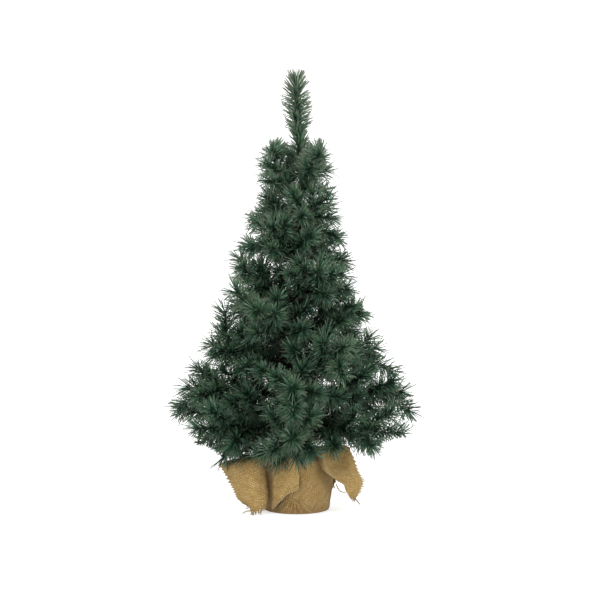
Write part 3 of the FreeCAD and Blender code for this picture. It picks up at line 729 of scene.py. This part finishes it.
def jute_material(name, pitch=1.85, level=1.0, folds=0.72):
    """Coarse plain weave: jute yarns, every second one over, uneven in thickness and colour, with painted shade in the
    holes between them.
    """
    m = Nodes(name)
    uv = m.add("ShaderNodeUVMap", {"uv_map": "cloth"})
    split = m.add("ShaderNodeSeparateXYZ", None, i0=uv.outputs[0])
    wobble_u = m.noise(uv.outputs[0], 0.11, 3.0)
    shifted = m.add("ShaderNodeMapping", None, Vector=uv.outputs[0], Location=(37.0, 91.0, 0.0))
    wobble_v = m.noise(shifted.outputs[0], 0.11, 3.0)
    u = m.math("MULTIPLY_ADD", wobble_u, 1.6, m.math("DIVIDE", split.outputs[0], pitch))
    v = m.math("MULTIPLY_ADD", wobble_v, 1.6, m.math("DIVIDE", split.outputs[1], pitch))
    parity = m.math("MODULO", m.math("ABSOLUTE", m.math("ADD", m.math("FLOOR", u), m.math("FLOOR", v))), 2.0)
    warp = m.math("ABSOLUTE", m.math("SINE", m.math("MULTIPLY", u, math.pi)))
    weft = m.math("ABSOLUTE", m.math("SINE", m.math("MULTIPLY", v, math.pi)))
    over = m.math("MULTIPLY", m.math("POWER", warp, 0.7), m.math("MULTIPLY_ADD", weft, 0.75, 0.25))
    under = m.math("MULTIPLY", m.math("POWER", weft, 0.7), m.math("MULTIPLY_ADD", warp, 0.75, 0.25))
    height = m.math(
        "ADD", m.math("MULTIPLY", parity, over), m.math("MULTIPLY", m.math("SUBTRACT", 1.0, parity), under)
    )
    along_u = m.add("ShaderNodeMapping", None, Vector=uv.outputs[0], Scale=(0.55, 0.05, 1.0))
    along_v = m.add("ShaderNodeMapping", None, Vector=uv.outputs[0], Scale=(0.05, 0.55, 1.0))
    slub_u = m.noise(along_u.outputs[0], 1.0, 3.0)
    slub_v = m.noise(along_v.outputs[0], 1.0, 3.0)
    slub = m.math("ADD", m.math("MULTIPLY", parity, slub_u), m.math("MULTIPLY", m.math("SUBTRACT", 1.0, parity), slub_v))
    fibre = m.noise(uv.outputs[0], 3.2, 4.0)
    patch = m.noise(uv.outputs[0], 0.05, 3.0)
    yarn = m.ramp(
        slub,
        [
            (0.34, srgb(186, 152, 90)),
            (0.45, srgb(226, 194, 124)),
            (0.55, srgb(246, 218, 148)),
            (0.66, srgb(255, 238, 182)),
        ],
    )
    yarn = m.mix(m.math("MULTIPLY", patch, 0.25), yarn, srgb(214, 172, 94))
    yarn = m.mix(m.math("MULTIPLY", fibre, 0.12), yarn, srgb(170, 130, 66))
    # every crossing has its own random tone, and the cells where the cross yarns lie on top are painted darker, a
    # painted shade for yarns that lie a little deeper and tilt from the light
    cell = m.add("ShaderNodeCombineXYZ", None, i0=m.math("FLOOR", u), i1=m.math("FLOOR", v))
    spot = m.add("ShaderNodeTexWhiteNoise", {"noise_dimensions": "2D"}, Vector=cell.outputs[0])
    yarn = m.mix(m.math("MULTIPLY", m.math("SUBTRACT", 1.0, parity), 0.42), yarn, srgb(172, 130, 62))
    yarn = m.mix(m.math("MULTIPLY", spot.outputs["Value"], 0.34), yarn, srgb(156, 114, 52))
    # painted shade between the yarns: where the weave's height falls, the colour goes dark brown
    gap = m.math("POWER", m.math("SUBTRACT", 1.0, height, clamp=True), 1.6)
    color = m.mix(m.math("MULTIPLY", gap, 1.0, clamp=True), yarn, srgb(104, 70, 26))
    # painted shade: the colour darkens in the folds and hollows, by the occlusion that the ambient occlusion node
    # measures
    fold = m.add("ShaderNodeAmbientOcclusion", {"samples": 6}, Distance=0.028)
    shade = m.math("POWER", m.math("SUBTRACT", 1.0, fold.outputs["AO"], clamp=True), 1.3)
    color = m.mix(m.math("MULTIPLY", shade, folds, clamp=True), color, srgb(92, 62, 42))
    color = m.mix(1.0, color, (level, level, level, 1.0), "MULTIPLY")
    m.put(m.bsdf, "Base Color", color)
    m.put(m.bsdf, "Roughness", m.math("MULTIPLY_ADD", fibre, 0.12, 0.84))
    m.put(m.bsdf, "Specular IOR Level", 0.12)
    m.put(m.bsdf, "Sheen Weight", 0.06)
    m.put(m.bsdf, "Sheen Roughness", 0.6)
    rise = m.math("ADD", height, m.math("MULTIPLY", fibre, 0.45))
    bump = m.add("ShaderNodeBump", None, Strength=1.0, Distance=0.0011, Height=rise)
    m.put(m.bsdf, "Normal", bump.outputs[0])
    return m.material


def fibre_material():
    m = Nodes("jute_yarn")
    coords = m.add("ShaderNodeTexCoord")
    streak = m.noise(coords.outputs["Object"], 900.0, 4.0)
    m.put(m.bsdf, "Base Color", m.ramp(streak, [(0.3, srgb(116, 104, 80)), (0.7, srgb(174, 158, 122))]))
    m.put(m.bsdf, "Roughness", m.math("MULTIPLY_ADD", streak, 0.1, 0.85))
    bump = m.add("ShaderNodeBump", None, Strength=0.6, Distance=0.0003, Height=streak)
    m.put(m.bsdf, "Normal", bump.outputs[0])
    return m.material


JUTE = jute_material("jute_weave")
# Painted light and shade: the cloth round the pot gets a darker copy of the weave, as if shaded by the tree above it,
# and the right corner a lighter copy with less painted fold shade, as if it faced the lamps.
JUTE_CUP_SHADED = jute_material("jute_weave_cup_painted_shade", level=0.76)
JUTE_FREE_LIT = jute_material("jute_weave_free_painted_light", level=1.1, folds=0.3)
YARN = fibre_material()


def spline(points, count):
    """Rows of points resampled along a smooth curve through them."""
    points = np.asarray(points, float)
    n = len(points)
    padded = np.concatenate([[2 * points[0] - points[1]], points, [2 * points[-1] - points[-2]]])
    t = np.linspace(0, n - 1, count)
    i = np.minimum(t.astype(int), n - 2)
    f = (t - i).reshape((-1,) + (1,) * (points.ndim - 1))
    p0, p1, p2, p3 = padded[i], padded[i + 1], padded[i + 2], padded[i + 3]
    return 0.5 * (
        2 * p1 + (p2 - p0) * f + (2 * p0 - 5 * p1 + 4 * p2 - p3) * f**2 + (3 * p1 - p0 - 3 * p2 + p3) * f**3
    )


def lattice(seed, shape, low, high):
    """Smooth random field over a grid, from a coarse lattice of random values."""
    rng = np.random.default_rng(seed)
    coarse = rng.normal(0, 1, (low, high))
    rows = spline(coarse[..., None], shape[0])[..., 0]
    return spline(np.ascontiguousarray(rows.T)[..., None], shape[1])[..., 0].T


def grid_normals(g):
    du = np.gradient(g, axis=0)
    dv = np.gradient(g, axis=1)
    normal = np.cross(du, dv)
    return normal / np.maximum(np.linalg.norm(normal, axis=2, keepdims=True), 1e-9)


def sheet(name, grid, uv, thick, material, wrap=False):
    """Closed cloth of even thickness from a grid of points in millimetres. wrap joins the last column to the first."""
    rows, cols = grid.shape[:2]
    if wrap:
        padded = np.concatenate([grid[:, -1:], grid, grid[:, :1]], 1)
        normal = grid_normals(padded)[:, 1:-1]
    else:
        normal = grid_normals(grid)
    outer = (grid + normal * thick / 2).reshape(-1, 3)
    inner = (grid - normal * thick / 2).reshape(-1, 3)
    n = rows * cols
    verts = np.concatenate([outer, inner])
    i = np.arange(rows - 1)[:, None]
    j = np.arange(cols if wrap else cols - 1)[None]
    k = (j + 1) % cols
    a, b, c, d = i * cols + j, i * cols + k, (i + 1) * cols + k, (i + 1) * cols + j
    front = np.stack([a, d, c, b], -1).reshape(-1, 4)
    back = np.stack([a, b, c, d], -1).reshape(-1, 4) + n
    faces = [front, back]
    edges = []
    jj = np.arange(cols if wrap else cols - 1)
    kk = (jj + 1) % cols
    top, bottom = jj, (rows - 1) * cols + jj
    edges.append(np.stack([top, kk, kk + n, top + n], -1))
    edges.append(np.stack([bottom + n, (rows - 1) * cols + kk + n, (rows - 1) * cols + kk, bottom], -1))
    if not wrap:
        ii = np.arange(rows - 1)
        left, right = ii * cols, ii * cols + cols - 1
        edges.append(np.stack([left + n, left + cols + n, left + cols, left], -1))
        edges.append(np.stack([right, right + cols, right + cols + n, right + n], -1))
    faces = np.concatenate(faces + edges)
    obj = new_mesh(name, verts * MM, faces.ravel(), np.full(len(faces), 4), True, material)
    corner = faces.ravel() % n
    column, line = corner % cols, corner // cols
    if wrap:
        # faces that close the ring read the extra last column of the unwrap
        closing = (faces % cols).max(1) - (faces % cols).min(1) > 1
        column = np.where(np.repeat(closing, 4) & (column == 0), cols, column)
    face_uv(obj, "cloth", uv[line, column])
    return obj


def grid_uv(grid, turn=0.0):
    """Lengths along the cloth in both directions, in millimetres, turned by an angle, so the weave keeps its scale."""
    u = np.concatenate([np.zeros((1, grid.shape[1])), np.cumsum(np.linalg.norm(np.diff(grid, axis=0), axis=2), 0)])
    v = np.concatenate([np.zeros((grid.shape[0], 1)), np.cumsum(np.linalg.norm(np.diff(grid, axis=1), axis=2), 1)], 1)
    v = v - v[:, v.shape[1] // 2][:, None]
    c, s = math.cos(turn), math.sin(turn)
    return np.stack([c * u - s * v + 300.0, s * u + c * v + 300.0], -1)


def cloth_patch(name, net, size, seed, teeth, start=0.25, turn=0.6, wrinkle=0.8, thick=1.1):
    """A hanging corner of the cloth: a smooth sheet through a net of points, wrinkled, with a ragged cut edge.

    teeth names the sides that are cut edges: left and right are the first and last column, end is the last row.
    """
    net = np.asarray(net, float)
    rows, cols = size
    grid = spline(net, rows)
    grid = spline(np.ascontiguousarray(grid.transpose(1, 0, 2)), cols).transpose(1, 0, 2)
    normal = grid_normals(grid)
    u = np.linspace(0, 1, rows)[:, None]
    away = np.clip(u * 4, 0, 1)
    waves = (
        lattice(seed, (rows, cols), 6, 6) * 0.9
        + lattice(seed + 1, (rows, cols), 13, 12) * 0.5
        + lattice(seed + 2, (rows, cols), 28, 26) * 0.2
    )
    grid = grid + normal * (waves * wrinkle * away)[..., None]
    rng = np.random.default_rng(seed + 5)

    def ragged(count, step):
        position = np.arange(count) * step
        saw = (position / 5.0 + 0.12 * np.sin(position / 3.7)) % 1.0
        saw = np.where(saw < 0.72, saw / 0.72, (1 - saw) / 0.28)
        return (saw - 0.45) * 6.0 + rng.normal(0, 0.3, count)

    uv = grid_uv(grid, turn) * 1.18
    spacing = np.linalg.norm(grid[1:, cols // 2] - grid[:-1, cols // 2], axis=1).mean()
    spacing_c = np.linalg.norm(grid[rows // 2, 1:] - grid[rows // 2, :-1], axis=1).mean()
    fade = np.clip((np.arange(rows) / rows - start) * 8, 0, 1)
    inner = np.array([1.0, 0.55, 0.2])
    for side, near, step_in in (("left", 0, 1), ("right", cols - 1, -1)):
        if side in teeth:
            out = grid[:, near] - grid[:, near + 3 * step_in]
            out /= np.linalg.norm(out, axis=1)[:, None]
            push = ragged(rows, spacing) * fade
            for k, part in enumerate(inner):
                grid[:, near + k * step_in] += out * (push * part)[:, None]
    if "end" in teeth:
        out = grid[-1] - grid[-4]
        out /= np.linalg.norm(out, axis=1)[:, None]
        push = ragged(cols, spacing_c)
        for k, part in enumerate(inner):
            grid[-1 - k] += out * (push * part)[:, None]
    return sheet(name, grid, uv, thick, JUTE), grid


# The cup: round the pot, over its rim, gathered to the tied neck, with a loose ragged ruff above the cord.
profile = [
    (1.0, 0.9), (20, 0.8), (36, 0.8), (42.6, 0.9), (44.2, 2.2), (44.9, 6), (46.3, 16), (48.0, 29), (49.8, 43),
    (51.6, 56), (53.0, 66), (53.3, 70.0), (51.8, 73.4), (47.0, 76.0), (38.0, 78.3), (29.0, 79.8), (22.0, 81.0),
    (17.6, 82.8), (15.7, 85.0), (15.4, 87.0), (16.6, 89.4), (19.8, 92.6), (24.0, 95.6), (26.5, 98.5),
]
ROWS, COLS = 220, 400
prof = spline(np.array(profile), ROWS)
theta = np.linspace(0, 2 * math.pi, COLS, endpoint=False) + math.pi / 2
rng = np.random.default_rng(41)
folds = 25
where = (np.arange(folds) + rng.uniform(-0.28, 0.28, folds)) / folds * 2 * math.pi + math.pi / 2
depth = rng.uniform(0.55, 1.25, folds)
drift = rng.uniform(-0.10, 0.10, folds)
along = np.linspace(0, 1, ROWS)
pleat = np.zeros((ROWS, COLS))
amount = np.interp(along, [0, 0.16, 0.22, 0.5, 0.62, 0.72, 0.8, 0.86, 0.92, 1.0], [0, 0, 0.25, 0.9, 2.0, 3.0, 2.2, 1.9, 2.3, 3.2])
sharp = np.interp(along, [0, 0.5, 0.75, 1.0], [0.16, 0.13, 0.085, 0.10])
for w0, k, dr in zip(where, depth, drift):
    centre = w0 + dr * (1 - along)
    delta = (theta[None] - centre[:, None] + math.pi) % (2 * math.pi) - math.pi
    pleat += k * np.exp(-((delta / sharp[:, None]) ** 2))
pleat = (pleat - pleat.mean(1, keepdims=True)) * amount[:, None]
tangent = np.gradient(prof, axis=0)
tangent /= np.linalg.norm(tangent, axis=1)[:, None]
out_r, out_z = tangent[:, 1], -tangent[:, 0]
small = lattice(77, (ROWS, COLS + 1), 30, 60)[:, :COLS]
edge = np.minimum(np.arange(COLS), COLS - np.arange(COLS)) / 12.0
small *= np.clip(edge, 0, 1)[None]
small *= np.interp(along, [0, 0.2, 0.24, 1], [0, 0, 0.25, 0.45])[:, None]
ragged = np.zeros((ROWS, COLS))
ragged[-6:] = (np.abs(((np.arange(COLS) / 9.0) % 1.0) - 0.5) * 2.4 + rng.normal(0, 0.35, COLS)) * np.linspace(0, 1, 6)[:, None]
# Fine gathers that fan out below the middle corner, where the cloth was pulled round the pot.
front_x, front_z = prof[:, 0][:, None] * np.cos(theta)[None], prof[:, 1][:, None] + 0 * theta[None]
fan = np.arctan2(front_x + 2.0, 27.0 - front_z)
away = np.hypot(front_x + 2.0, 27.0 - front_z)
gathers = np.cos(fan * 21.0 + 0.6 * np.sin(fan * 5.0)) * np.clip((away - 3) / 8, 0, 1) * np.clip((44 - away) / 20, 0, 1)
gathers *= np.clip((1.25 - np.abs(fan + 0.25)) * 4, 0, 1) * (np.sin(theta) < -0.3)[None] * (front_z > 1.5)
move = pleat + small + 0.8 * gathers
r = prof[:, 0][:, None] + out_r[:, None] * move + tangent[:, 0][:, None] * ragged
r = np.maximum(r, 0.5)
z = prof[:, 1][:, None] + out_z[:, None] * move + tangent[:, 1][:, None] * ragged
inside = np.interp(z, [0, 2, 70, 74], [0, 41.8, 52.3, 52.3])
r = np.where((z < 71) & (z > 2.0) & (along[:, None] > 0.15), np.maximum(r, inside + 0.75), r)
z = np.maximum(z, 0.62)
z = np.where((r < 51) & (along[:, None] > 0.5), np.maximum(z, 71.4), z)
cup = np.stack([r * np.cos(theta), r * np.sin(theta), z], -1)
length = np.concatenate([[0], np.cumsum(np.linalg.norm(np.diff(prof, axis=0), axis=1))])
turn = np.append(theta, theta[0] + 2 * math.pi)[None] * 48.0 + 0 * length[:, None]
fall = length[:, None] + 0 * turn
c, s = math.cos(0.62), math.sin(0.62)
cloth = sheet("jute_cup", cup, np.stack([c * turn - s * fall + 400, s * turn + c * fall + 400], -1), 1.1, JUTE, wrap=True)
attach(cloth, "trunk")
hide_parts("jute_wrap")

LEFT = [
    [(-5, -14, 84), (-8, -14, 85), (-11, -12, 85), (-15, -9, 85), (-17, -3, 85), (-18, 3, 85)],
    [(-18, -38, 79), (-24, -39, 79.5), (-34, -37, 80), (-46, -30, 79.5), (-52, -18, 78), (-55, -6, 76)],
    [(-38.6, -42, 68.5), (-45.7, -51, 71.7), (-56.2, -53, 72.7), (-71, -48, 72.7), (-87.6, -36, 70.4), (-101.4, -18, 64.6)],
    [(-39.3, -40, 58.9), (-45, -52, 60.6), (-56.1, -57, 61.3), (-70.8, -53, 60.8), (-87.2, -42, 60.5), (-100.6, -24, 59.4)],
    [(-38.1, -38, 45.3), (-44.4, -50, 47.1), (-54.1, -56, 48), (-66.8, -53, 47.5), (-79.1, -45, 46.3), (-90.4, -33, 44.6)],
    [(-37.4, -36, 31.6), (-43.1, -48, 33.5), (-52.2, -54, 33.8), (-62.2, -52, 32.8), (-72.4, -47, 32), (-82.8, -38, 30.6)],
    [(-37.4, -36, 19.6), (-42.5, -46, 20.6), (-50.3, -51, 20.7), (-59.6, -50, 19.3), (-68.4, -46, 19.3), (-77.3, -41, 20.4)],
    [(-40, -39, 10.1), (-43.2, -45, 8.5), (-49.8, -48, 5.7), (-58.3, -49, 2.5), (-63.1, -47, 10.8), (-69.8, -44, 14.9)],
]
MIDDLE = [
    [(-12, -12, 84), (-9, -13, 85), (-5, -15, 85), (0, -16, 85), (6, -15, 84)],
    [(-20, -42, 79), (-15, -46, 80), (-9, -49, 80), (-2, -50, 80), (6, -48, 79)],
    [(-33.3, -42, 67.9), (-29.8, -50, 70.3), (-20.5, -55, 72.3), (-9.2, -57, 73.2), (0.7, -55, 72.3)],
    [(-33.3, -40, 53.6), (-29.8, -50, 55), (-19.1, -56.5, 56.6), (-7.9, -58, 57.5), (3.3, -55.5, 57.2)],
    [(-32.7, -38, 40), (-29.2, -48, 41.5), (-19.2, -55, 43.2), (-7.9, -57, 44.2), (3.7, -55, 44.5)],
    [(-32.5, -37, 26.4), (-29.2, -46, 27.9), (-21.2, -52, 30.8), (-9.9, -54.5, 35.9), (3.6, -54, 39.8)],
    [(-32.7, -40, 7.6), (-29.3, -44.5, 10.1), (-22.5, -49, 18.4), (-12.6, -52.5, 28.3), (2.6, -54, 35.1)],
]
RIGHT = [
    [(8, -15, 83), (12, -14, 84), (14, -11, 85), (16, -6, 85), (17, 0, 84), (17, 3, 84)],
    [(28.7, -36, 82.4), (30.6, -42, 85.2), (36.8, -34, 86.2), (47.9, -20, 87.2), (59.2, -8, 88.4), (66.2, -2, 85.7)],
    [(29.3, -42, 72.5), (35.7, -52, 72.5), (42.1, -38, 73.3), (53.3, -22, 75.3), (65.7, -14, 78.3), (73.4, -8, 78.9)],
    [(32.6, -45, 63.6), (38.3, -54, 62.9), (44.7, -40, 64.3), (57.2, -24, 66.1), (69.5, -20, 69.6), (78.6, -14, 68.1)],
    [(37.8, -47, 57.9), (43, -54, 56.9), (49.9, -42, 57.9), (61.1, -30, 58.9), (73.4, -25, 59.5), (82.4, -19, 56)],
    [(45.8, -46, 51.8), (49, -50, 51.7), (56.6, -42, 51.2), (66.3, -34, 50.7), (77.2, -29, 50), (86.9, -23, 47.8)],
    [(54.5, -44, 44.9), (56.5, -45, 44.7), (63.3, -40, 44.3), (70.9, -35, 42.8), (79.8, -31, 41.6), (89.5, -26, 40.1)],
    [(62.7, -40, 39.6), (64.7, -40, 38.9), (68.8, -38, 37.3), (74.2, -35, 35.5), (80.4, -32, 33.7), (87.3, -28, 33.1)],
    [(66.1, -37, 30.5), (67.5, -37, 30.1), (70.2, -36, 29), (74.3, -34, 28), (79.1, -32, 27), (83.9, -30, 27.3)],
    [(70.9, -35, 22.8), (72, -35, 22.1), (74, -34, 21.3), (76.3, -33, 20.4), (78.4, -32, 20.3), (80.5, -31, 21.5)],
]


def behind(angle, spread, drop, seed):
    """A corner that hangs behind the pot, round a direction given in degrees."""
    net = []
    for row, (out, z, wide) in enumerate(
        [(15, 85, 10), (42, 80, 24), (56, 71, spread), (58, 54, spread * 0.92), (56, 36, spread * 0.68), (54, drop, spread * 0.25)]
    ):
        line = []
        for k in np.linspace(-1, 1, 5):
            a = math.radians(angle)
            side = np.array([-math.sin(a), math.cos(a)])
            fall = out - 0.35 * abs(k) * wide * (0.3 if row > 1 else 0.6)
            p = np.array([math.cos(a), math.sin(a)]) * fall + side * k * wide
            reach = math.hypot(*p)
            if row > 1 and reach < 57.0:
                p *= 57.0 / reach
            line.append((p[0], p[1], z + abs(k) * (4 if row > 2 else 0)))
        net.append(line)
    return net


flaps = []
for name, net, size, seed, teeth, start, turn, wrinkle in (
    ("jute_flap_left", LEFT, (150, 120), 11, ("right", "end"), 0.28, 0.75, 0.8),
    ("jute_flap_middle", MIDDLE, (130, 80), 21, (), 0.5, 0.7, 0.6),
    ("jute_flap_right", RIGHT, (150, 90), 31, ("right", "end"), 0.2, 0.8, 0.45),
    ("jute_flap_back_left", behind(130, 34, 13, 51), (120, 100), 51, ("left", "right", "end"), 0.3, 0.8, 0.9),
    ("jute_flap_back_right", behind(42, 36, 16, 61), (120, 100), 61, ("left", "right", "end"), 0.3, 0.8, 0.9),
):
    piece, grid = cloth_patch(name, net, size, seed, teeth, start, turn, wrinkle)
    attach(piece, "trunk")
    flaps.append((name, grid, teeth))


def yarn_tubes(paths, radius, sides=5):
    verts, faces, totals, base = [], [], [], 0
    for path, r in zip(paths, radius):
        path = np.asarray(path, float)
        n = len(path)
        t, a, b = frame_along(path)
        phi = np.linspace(0, 2 * math.pi, sides, endpoint=False)
        taper = np.linspace(1.0, 0.7, n)[:, None, None]
        ring = path[:, None] + r * taper * (np.cos(phi)[None, :, None] * a[:, None] + np.sin(phi)[None, :, None] * b[:, None])
        verts.append(ring.reshape(-1, 3))
        i = np.arange(n - 1)[:, None] * sides
        k = np.arange(sides)[None]
        j = (k + 1) % sides
        quads = np.stack([i + k, i + j, i + sides + j, i + sides + k], -1).reshape(-1, 4) + base
        faces += [quads.ravel(), np.arange(sides)[::-1] + base, np.arange(sides) + base + (n - 1) * sides]
        totals += [4] * len(quads) + [sides, sides]
        base += n * sides
    return np.concatenate(verts), np.concatenate(faces), np.array(totals)


def frays():
    """Loose yarns along every cut edge, short ones everywhere and a few long ones at the corners."""
    rng = np.random.default_rng(91)
    paths, radius = [], []

    def strand(start, out, length, droop):
        n = 7
        u = np.linspace(0, 1, n)[:, None]
        curl = unit(np.cross(out, rng.normal(0, 1, 3)))
        path = start + out * length * u + np.array([0, 0, -1.0]) * droop * length * u**2 + curl * length * rng.uniform(-0.35, 0.35) * u**2
        path[:, 2] = np.maximum(path[:, 2], 0.5)
        paths.append(path)
        radius.append(rng.uniform(0.32, 0.5))

    for name, grid, teeth in flaps:
        rows, cols = grid.shape[:2]
        lines = []
        if "left" in teeth:
            lines.append((grid[rows // 3 :, 0], grid[rows // 3 :, 1]))
        if "right" in teeth:
            lines.append((grid[rows // 3 :, -1], grid[rows // 3 :, -2]))
        if "end" in teeth and name != "jute_flap_middle":
            lines.append((grid[-1], grid[-2]))
        for edge_line, inner in lines:
            for k in range(2, len(edge_line) - 2, 2):
                if rng.random() < 0.75:
                    out = unit(edge_line[k] - inner[k] + rng.normal(0, 0.12, 3))
                    strand(edge_line[k] - out * 0.5, out, rng.uniform(0.8, 2.6), rng.uniform(0, 0.5))
    # a few long ones at the corners
    for start, middle, end, thick in (
        ((-60.0, -47.0, 5.5), (-66.0, -48.0, 5.0), (-71.5, -48.5, 2.4), 0.85),
        ((-50.5, -48.5, 6.0), (-48.0, -50.0, 2.4), (-46.5, -51.0, 1.0), 0.85),
        ((-58.3, -49.0, 3.5), (-60.0, -50.5, 1.6), (-61.5, -52.0, 0.9), 0.7),
        ((-57.5, -49.0, 3.0), (-57.6, -52.0, 1.2), (-57.0, -54.5, 0.9), 0.7),
        ((-62.5, -47.0, 11.0), (-64.5, -48.0, 9.0), (-67.5, -48.5, 9.2), 0.6),
        ((77.5, -33.0, 21.5), (81.5, -34.0, 16.5), (85.5, -35.0, 12.0), 0.95),
        ((76.0, -33.0, 21.0), (76.2, -34.0, 18.0), (74.8, -34.5, 15.4), 0.6),
        ((53.0, -40.0, 40.0), (57.5, -41.5, 31.5), (66.0, -42.0, 28.6), 0.95),
        ((49.5, -12.0, 36.0), (51.0, -14.0, 33.0), (51.4, -15.0, 30.0), 0.8),
    ):
        paths.append(spline(np.array([start, middle, end]), 9))
        radius.append(thick)
    # turned edges, doubled over, catch the light: the left rim of the right corner and the low edge of the middle one
    rim, low = flaps[2][1], flaps[1][1]
    paths.append(rim[14:104:3, 18] + np.array([-0.2, -0.7, 0.0]))
    radius.append(0.75)
    paths.append(low[-1, ::3] + np.array([0.2, -0.4, -0.2]))
    radius.append(0.7)
    for k in range(0, COLS, 3):
        if rng.random() < 0.8:
            out = unit(cup[-1, k] - cup[-4, k] + rng.normal(0, 0.25, 3))
            strand(cup[-1, k] - out * 0.4, out, rng.uniform(0.8, 3.5), rng.uniform(-0.1, 0.6))
    verts, faces, totals = yarn_tubes(paths, radius)
    return new_mesh("jute_frays", verts * MM, faces, totals, True, YARN)


loose = frays()
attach(loose, "trunk")


def cord():
    """Two turns of laid twine round the neck, three plies each."""
    paths, radius = [], []
    for turn_number, height in ((0, 84.2), (1, 86.8)):
        for ply in range(3):
            a = np.linspace(0, 2 * math.pi, 260)
            phase = a * 26 + ply * 2 * math.pi / 3
            r = 16.9 + 0.62 * np.cos(phase)
            z = height + 0.62 * np.sin(phase)
            paths.append(np.stack([r * np.cos(a), r * np.sin(a), z], 1))
            radius.append(0.62)
    verts, faces, totals = [], [], []
    base = 0
    sides = 6
    for path, r in zip(paths, radius):
        path = path[:-1]
        n = len(path)
        tangent = np.roll(path, -1, 0) - np.roll(path, 1, 0)
        tangent /= np.linalg.norm(tangent, axis=1)[:, None]
        a = np.cross(tangent, np.array([0, 0, 1.0]))
        a /= np.linalg.norm(a, axis=1)[:, None]
        b = np.cross(tangent, a)
        phi = np.linspace(0, 2 * math.pi, sides, endpoint=False)
        ring = path[:, None] + r * (np.cos(phi)[None, :, None] * a[:, None] + np.sin(phi)[None, :, None] * b[:, None])
        verts.append(ring.reshape(-1, 3))
        i = np.arange(n)[:, None]
        k = np.arange(sides)[None]
        j = (k + 1) % sides
        i2 = (i + 1) % n
        quads = np.stack([i * sides + k, i * sides + j, i2 * sides + j, i2 * sides + k], -1).reshape(-1, 4) + base
        faces.append(quads.ravel())
        totals += [4] * len(quads)
        base += n * sides
    return new_mesh("neck_cord", np.concatenate(verts) * MM, np.concatenate(faces), np.array(totals), True, YARN)


twine = cord()
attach(twine, "trunk")
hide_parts("neck_tie")

# The cup takes the copy of the weave with painted shade, the right corner the copy with painted light.
for piece_name, piece_material in (("jute_cup", JUTE_CUP_SHADED), ("jute_flap_right", JUTE_FREE_LIT)):
    bpy.data.objects[piece_name].data.materials[0] = piece_material


# ---------------------------------------------------------------- floor, light, camera


def stage():
    m = Nodes("studio_white")
    coords = m.add("ShaderNodeTexCoord")
    grain = m.noise(coords.outputs["Object"], 8.0, 3.0)
    m.put(m.bsdf, "Base Color", m.ramp(grain, [(0.3, (0.50, 0.50, 0.50, 1)), (0.7, (0.52, 0.52, 0.515, 1))]))
    m.put(m.bsdf, "Roughness", 0.9)
    m.put(m.bsdf, "Emission Color", (1.0, 1.0, 1.0, 1.0))
    # The light falls off away from the object, and the floor makes up for it, so its far edge doesn't show.
    far = m.add("ShaderNodeVectorMath", {"operation": "LENGTH"}, i0=coords.outputs["Object"]).outputs["Value"]
    m.put(m.bsdf, "Emission Strength", m.math("MULTIPLY_ADD", m.math("MULTIPLY", m.math("SUBTRACT", far, 0.7, clamp=True), 0.9, clamp=True), 0.22, 0.62))
    n, k = 48, 24
    y = np.concatenate([np.linspace(-2.4, 1.6, 12), 1.6 + 0.9 * np.sin(np.linspace(0, math.pi / 2, 24)[1:]), [2.5]])
    z = np.concatenate([np.zeros(12), 0.9 * (1 - np.cos(np.linspace(0, math.pi / 2, 24)[1:])), [3.2]])
    x = np.linspace(-3.2, 3.2, 9)
    verts = np.array([(xx, yy, zz - 0.0003) for yy, zz in zip(y, z) for xx in x])
    faces, w = [], len(x)
    for i in range(len(y) - 1):
        for j in range(w - 1):
            faces += [i * w + j, i * w + j + 1, (i + 1) * w + j + 1, (i + 1) * w + j]
    floor = new_mesh("floor", verts, faces, [4] * (len(faces) // 4), True, m.material)

    world = bpy.data.worlds.new("studio")
    world.use_nodes = True
    world.node_tree.nodes["Background"].inputs[0].default_value = (1.0, 1.0, 1.0, 1.0)
    # The backdrop is white to the camera from every side, and gives the room a softer light than it shows.
    tree = world.node_tree
    path = tree.nodes.new("ShaderNodeLightPath")
    level = tree.nodes.new("ShaderNodeMath")
    level.operation = "MULTIPLY_ADD"
    level.inputs[1].default_value = 0.48
    level.inputs[2].default_value = 0.52
    tree.links.new(path.outputs["Is Camera Ray"], level.inputs[0])
    tree.links.new(level.outputs[0], tree.nodes["Background"].inputs[1])
    scene.world = world

    def lamp(name, place, target, width, power, color=(1, 1, 1)):
        data = bpy.data.lights.new(name, "AREA")
        data.shape = "SQUARE"
        data.size = width
        data.energy = power
        data.color = color
        obj = bpy.data.objects.new(name, data)
        obj.location = place
        obj.rotation_euler = (Vector(target) - Vector(place)).to_track_quat("-Z", "Y").to_euler()
        scene.collection.objects.link(obj)

    lamp("key", (-1.35, -1.6, 1.65), (0, 0, 0.3), 1.0, 44.0)
    lamp("fill", (1.6, -1.3, 1.0), (0, 0, 0.25), 1.3, 36.0)
    lamp("top", (0.0, 0.2, 2.2), (0, 0, 0.3), 1.4, 22.0)

    data = bpy.data.cameras.new("camera")
    data.lens = 72.4
    data.sensor_width = 36.0
    obj = bpy.data.objects.new("camera", data)
    obj.location = (0.0048, -1.65, 0.2856)
    obj.rotation_euler = (math.radians(90.0), 0.0, 0.0)
    scene.collection.objects.link(obj)
    scene.camera = obj
    scene.view_settings.view_transform = "Standard"
    scene.view_settings.look = "None"
    scene.view_settings.exposure = 0.0
    scene.view_settings.gamma = 1.0


stage()
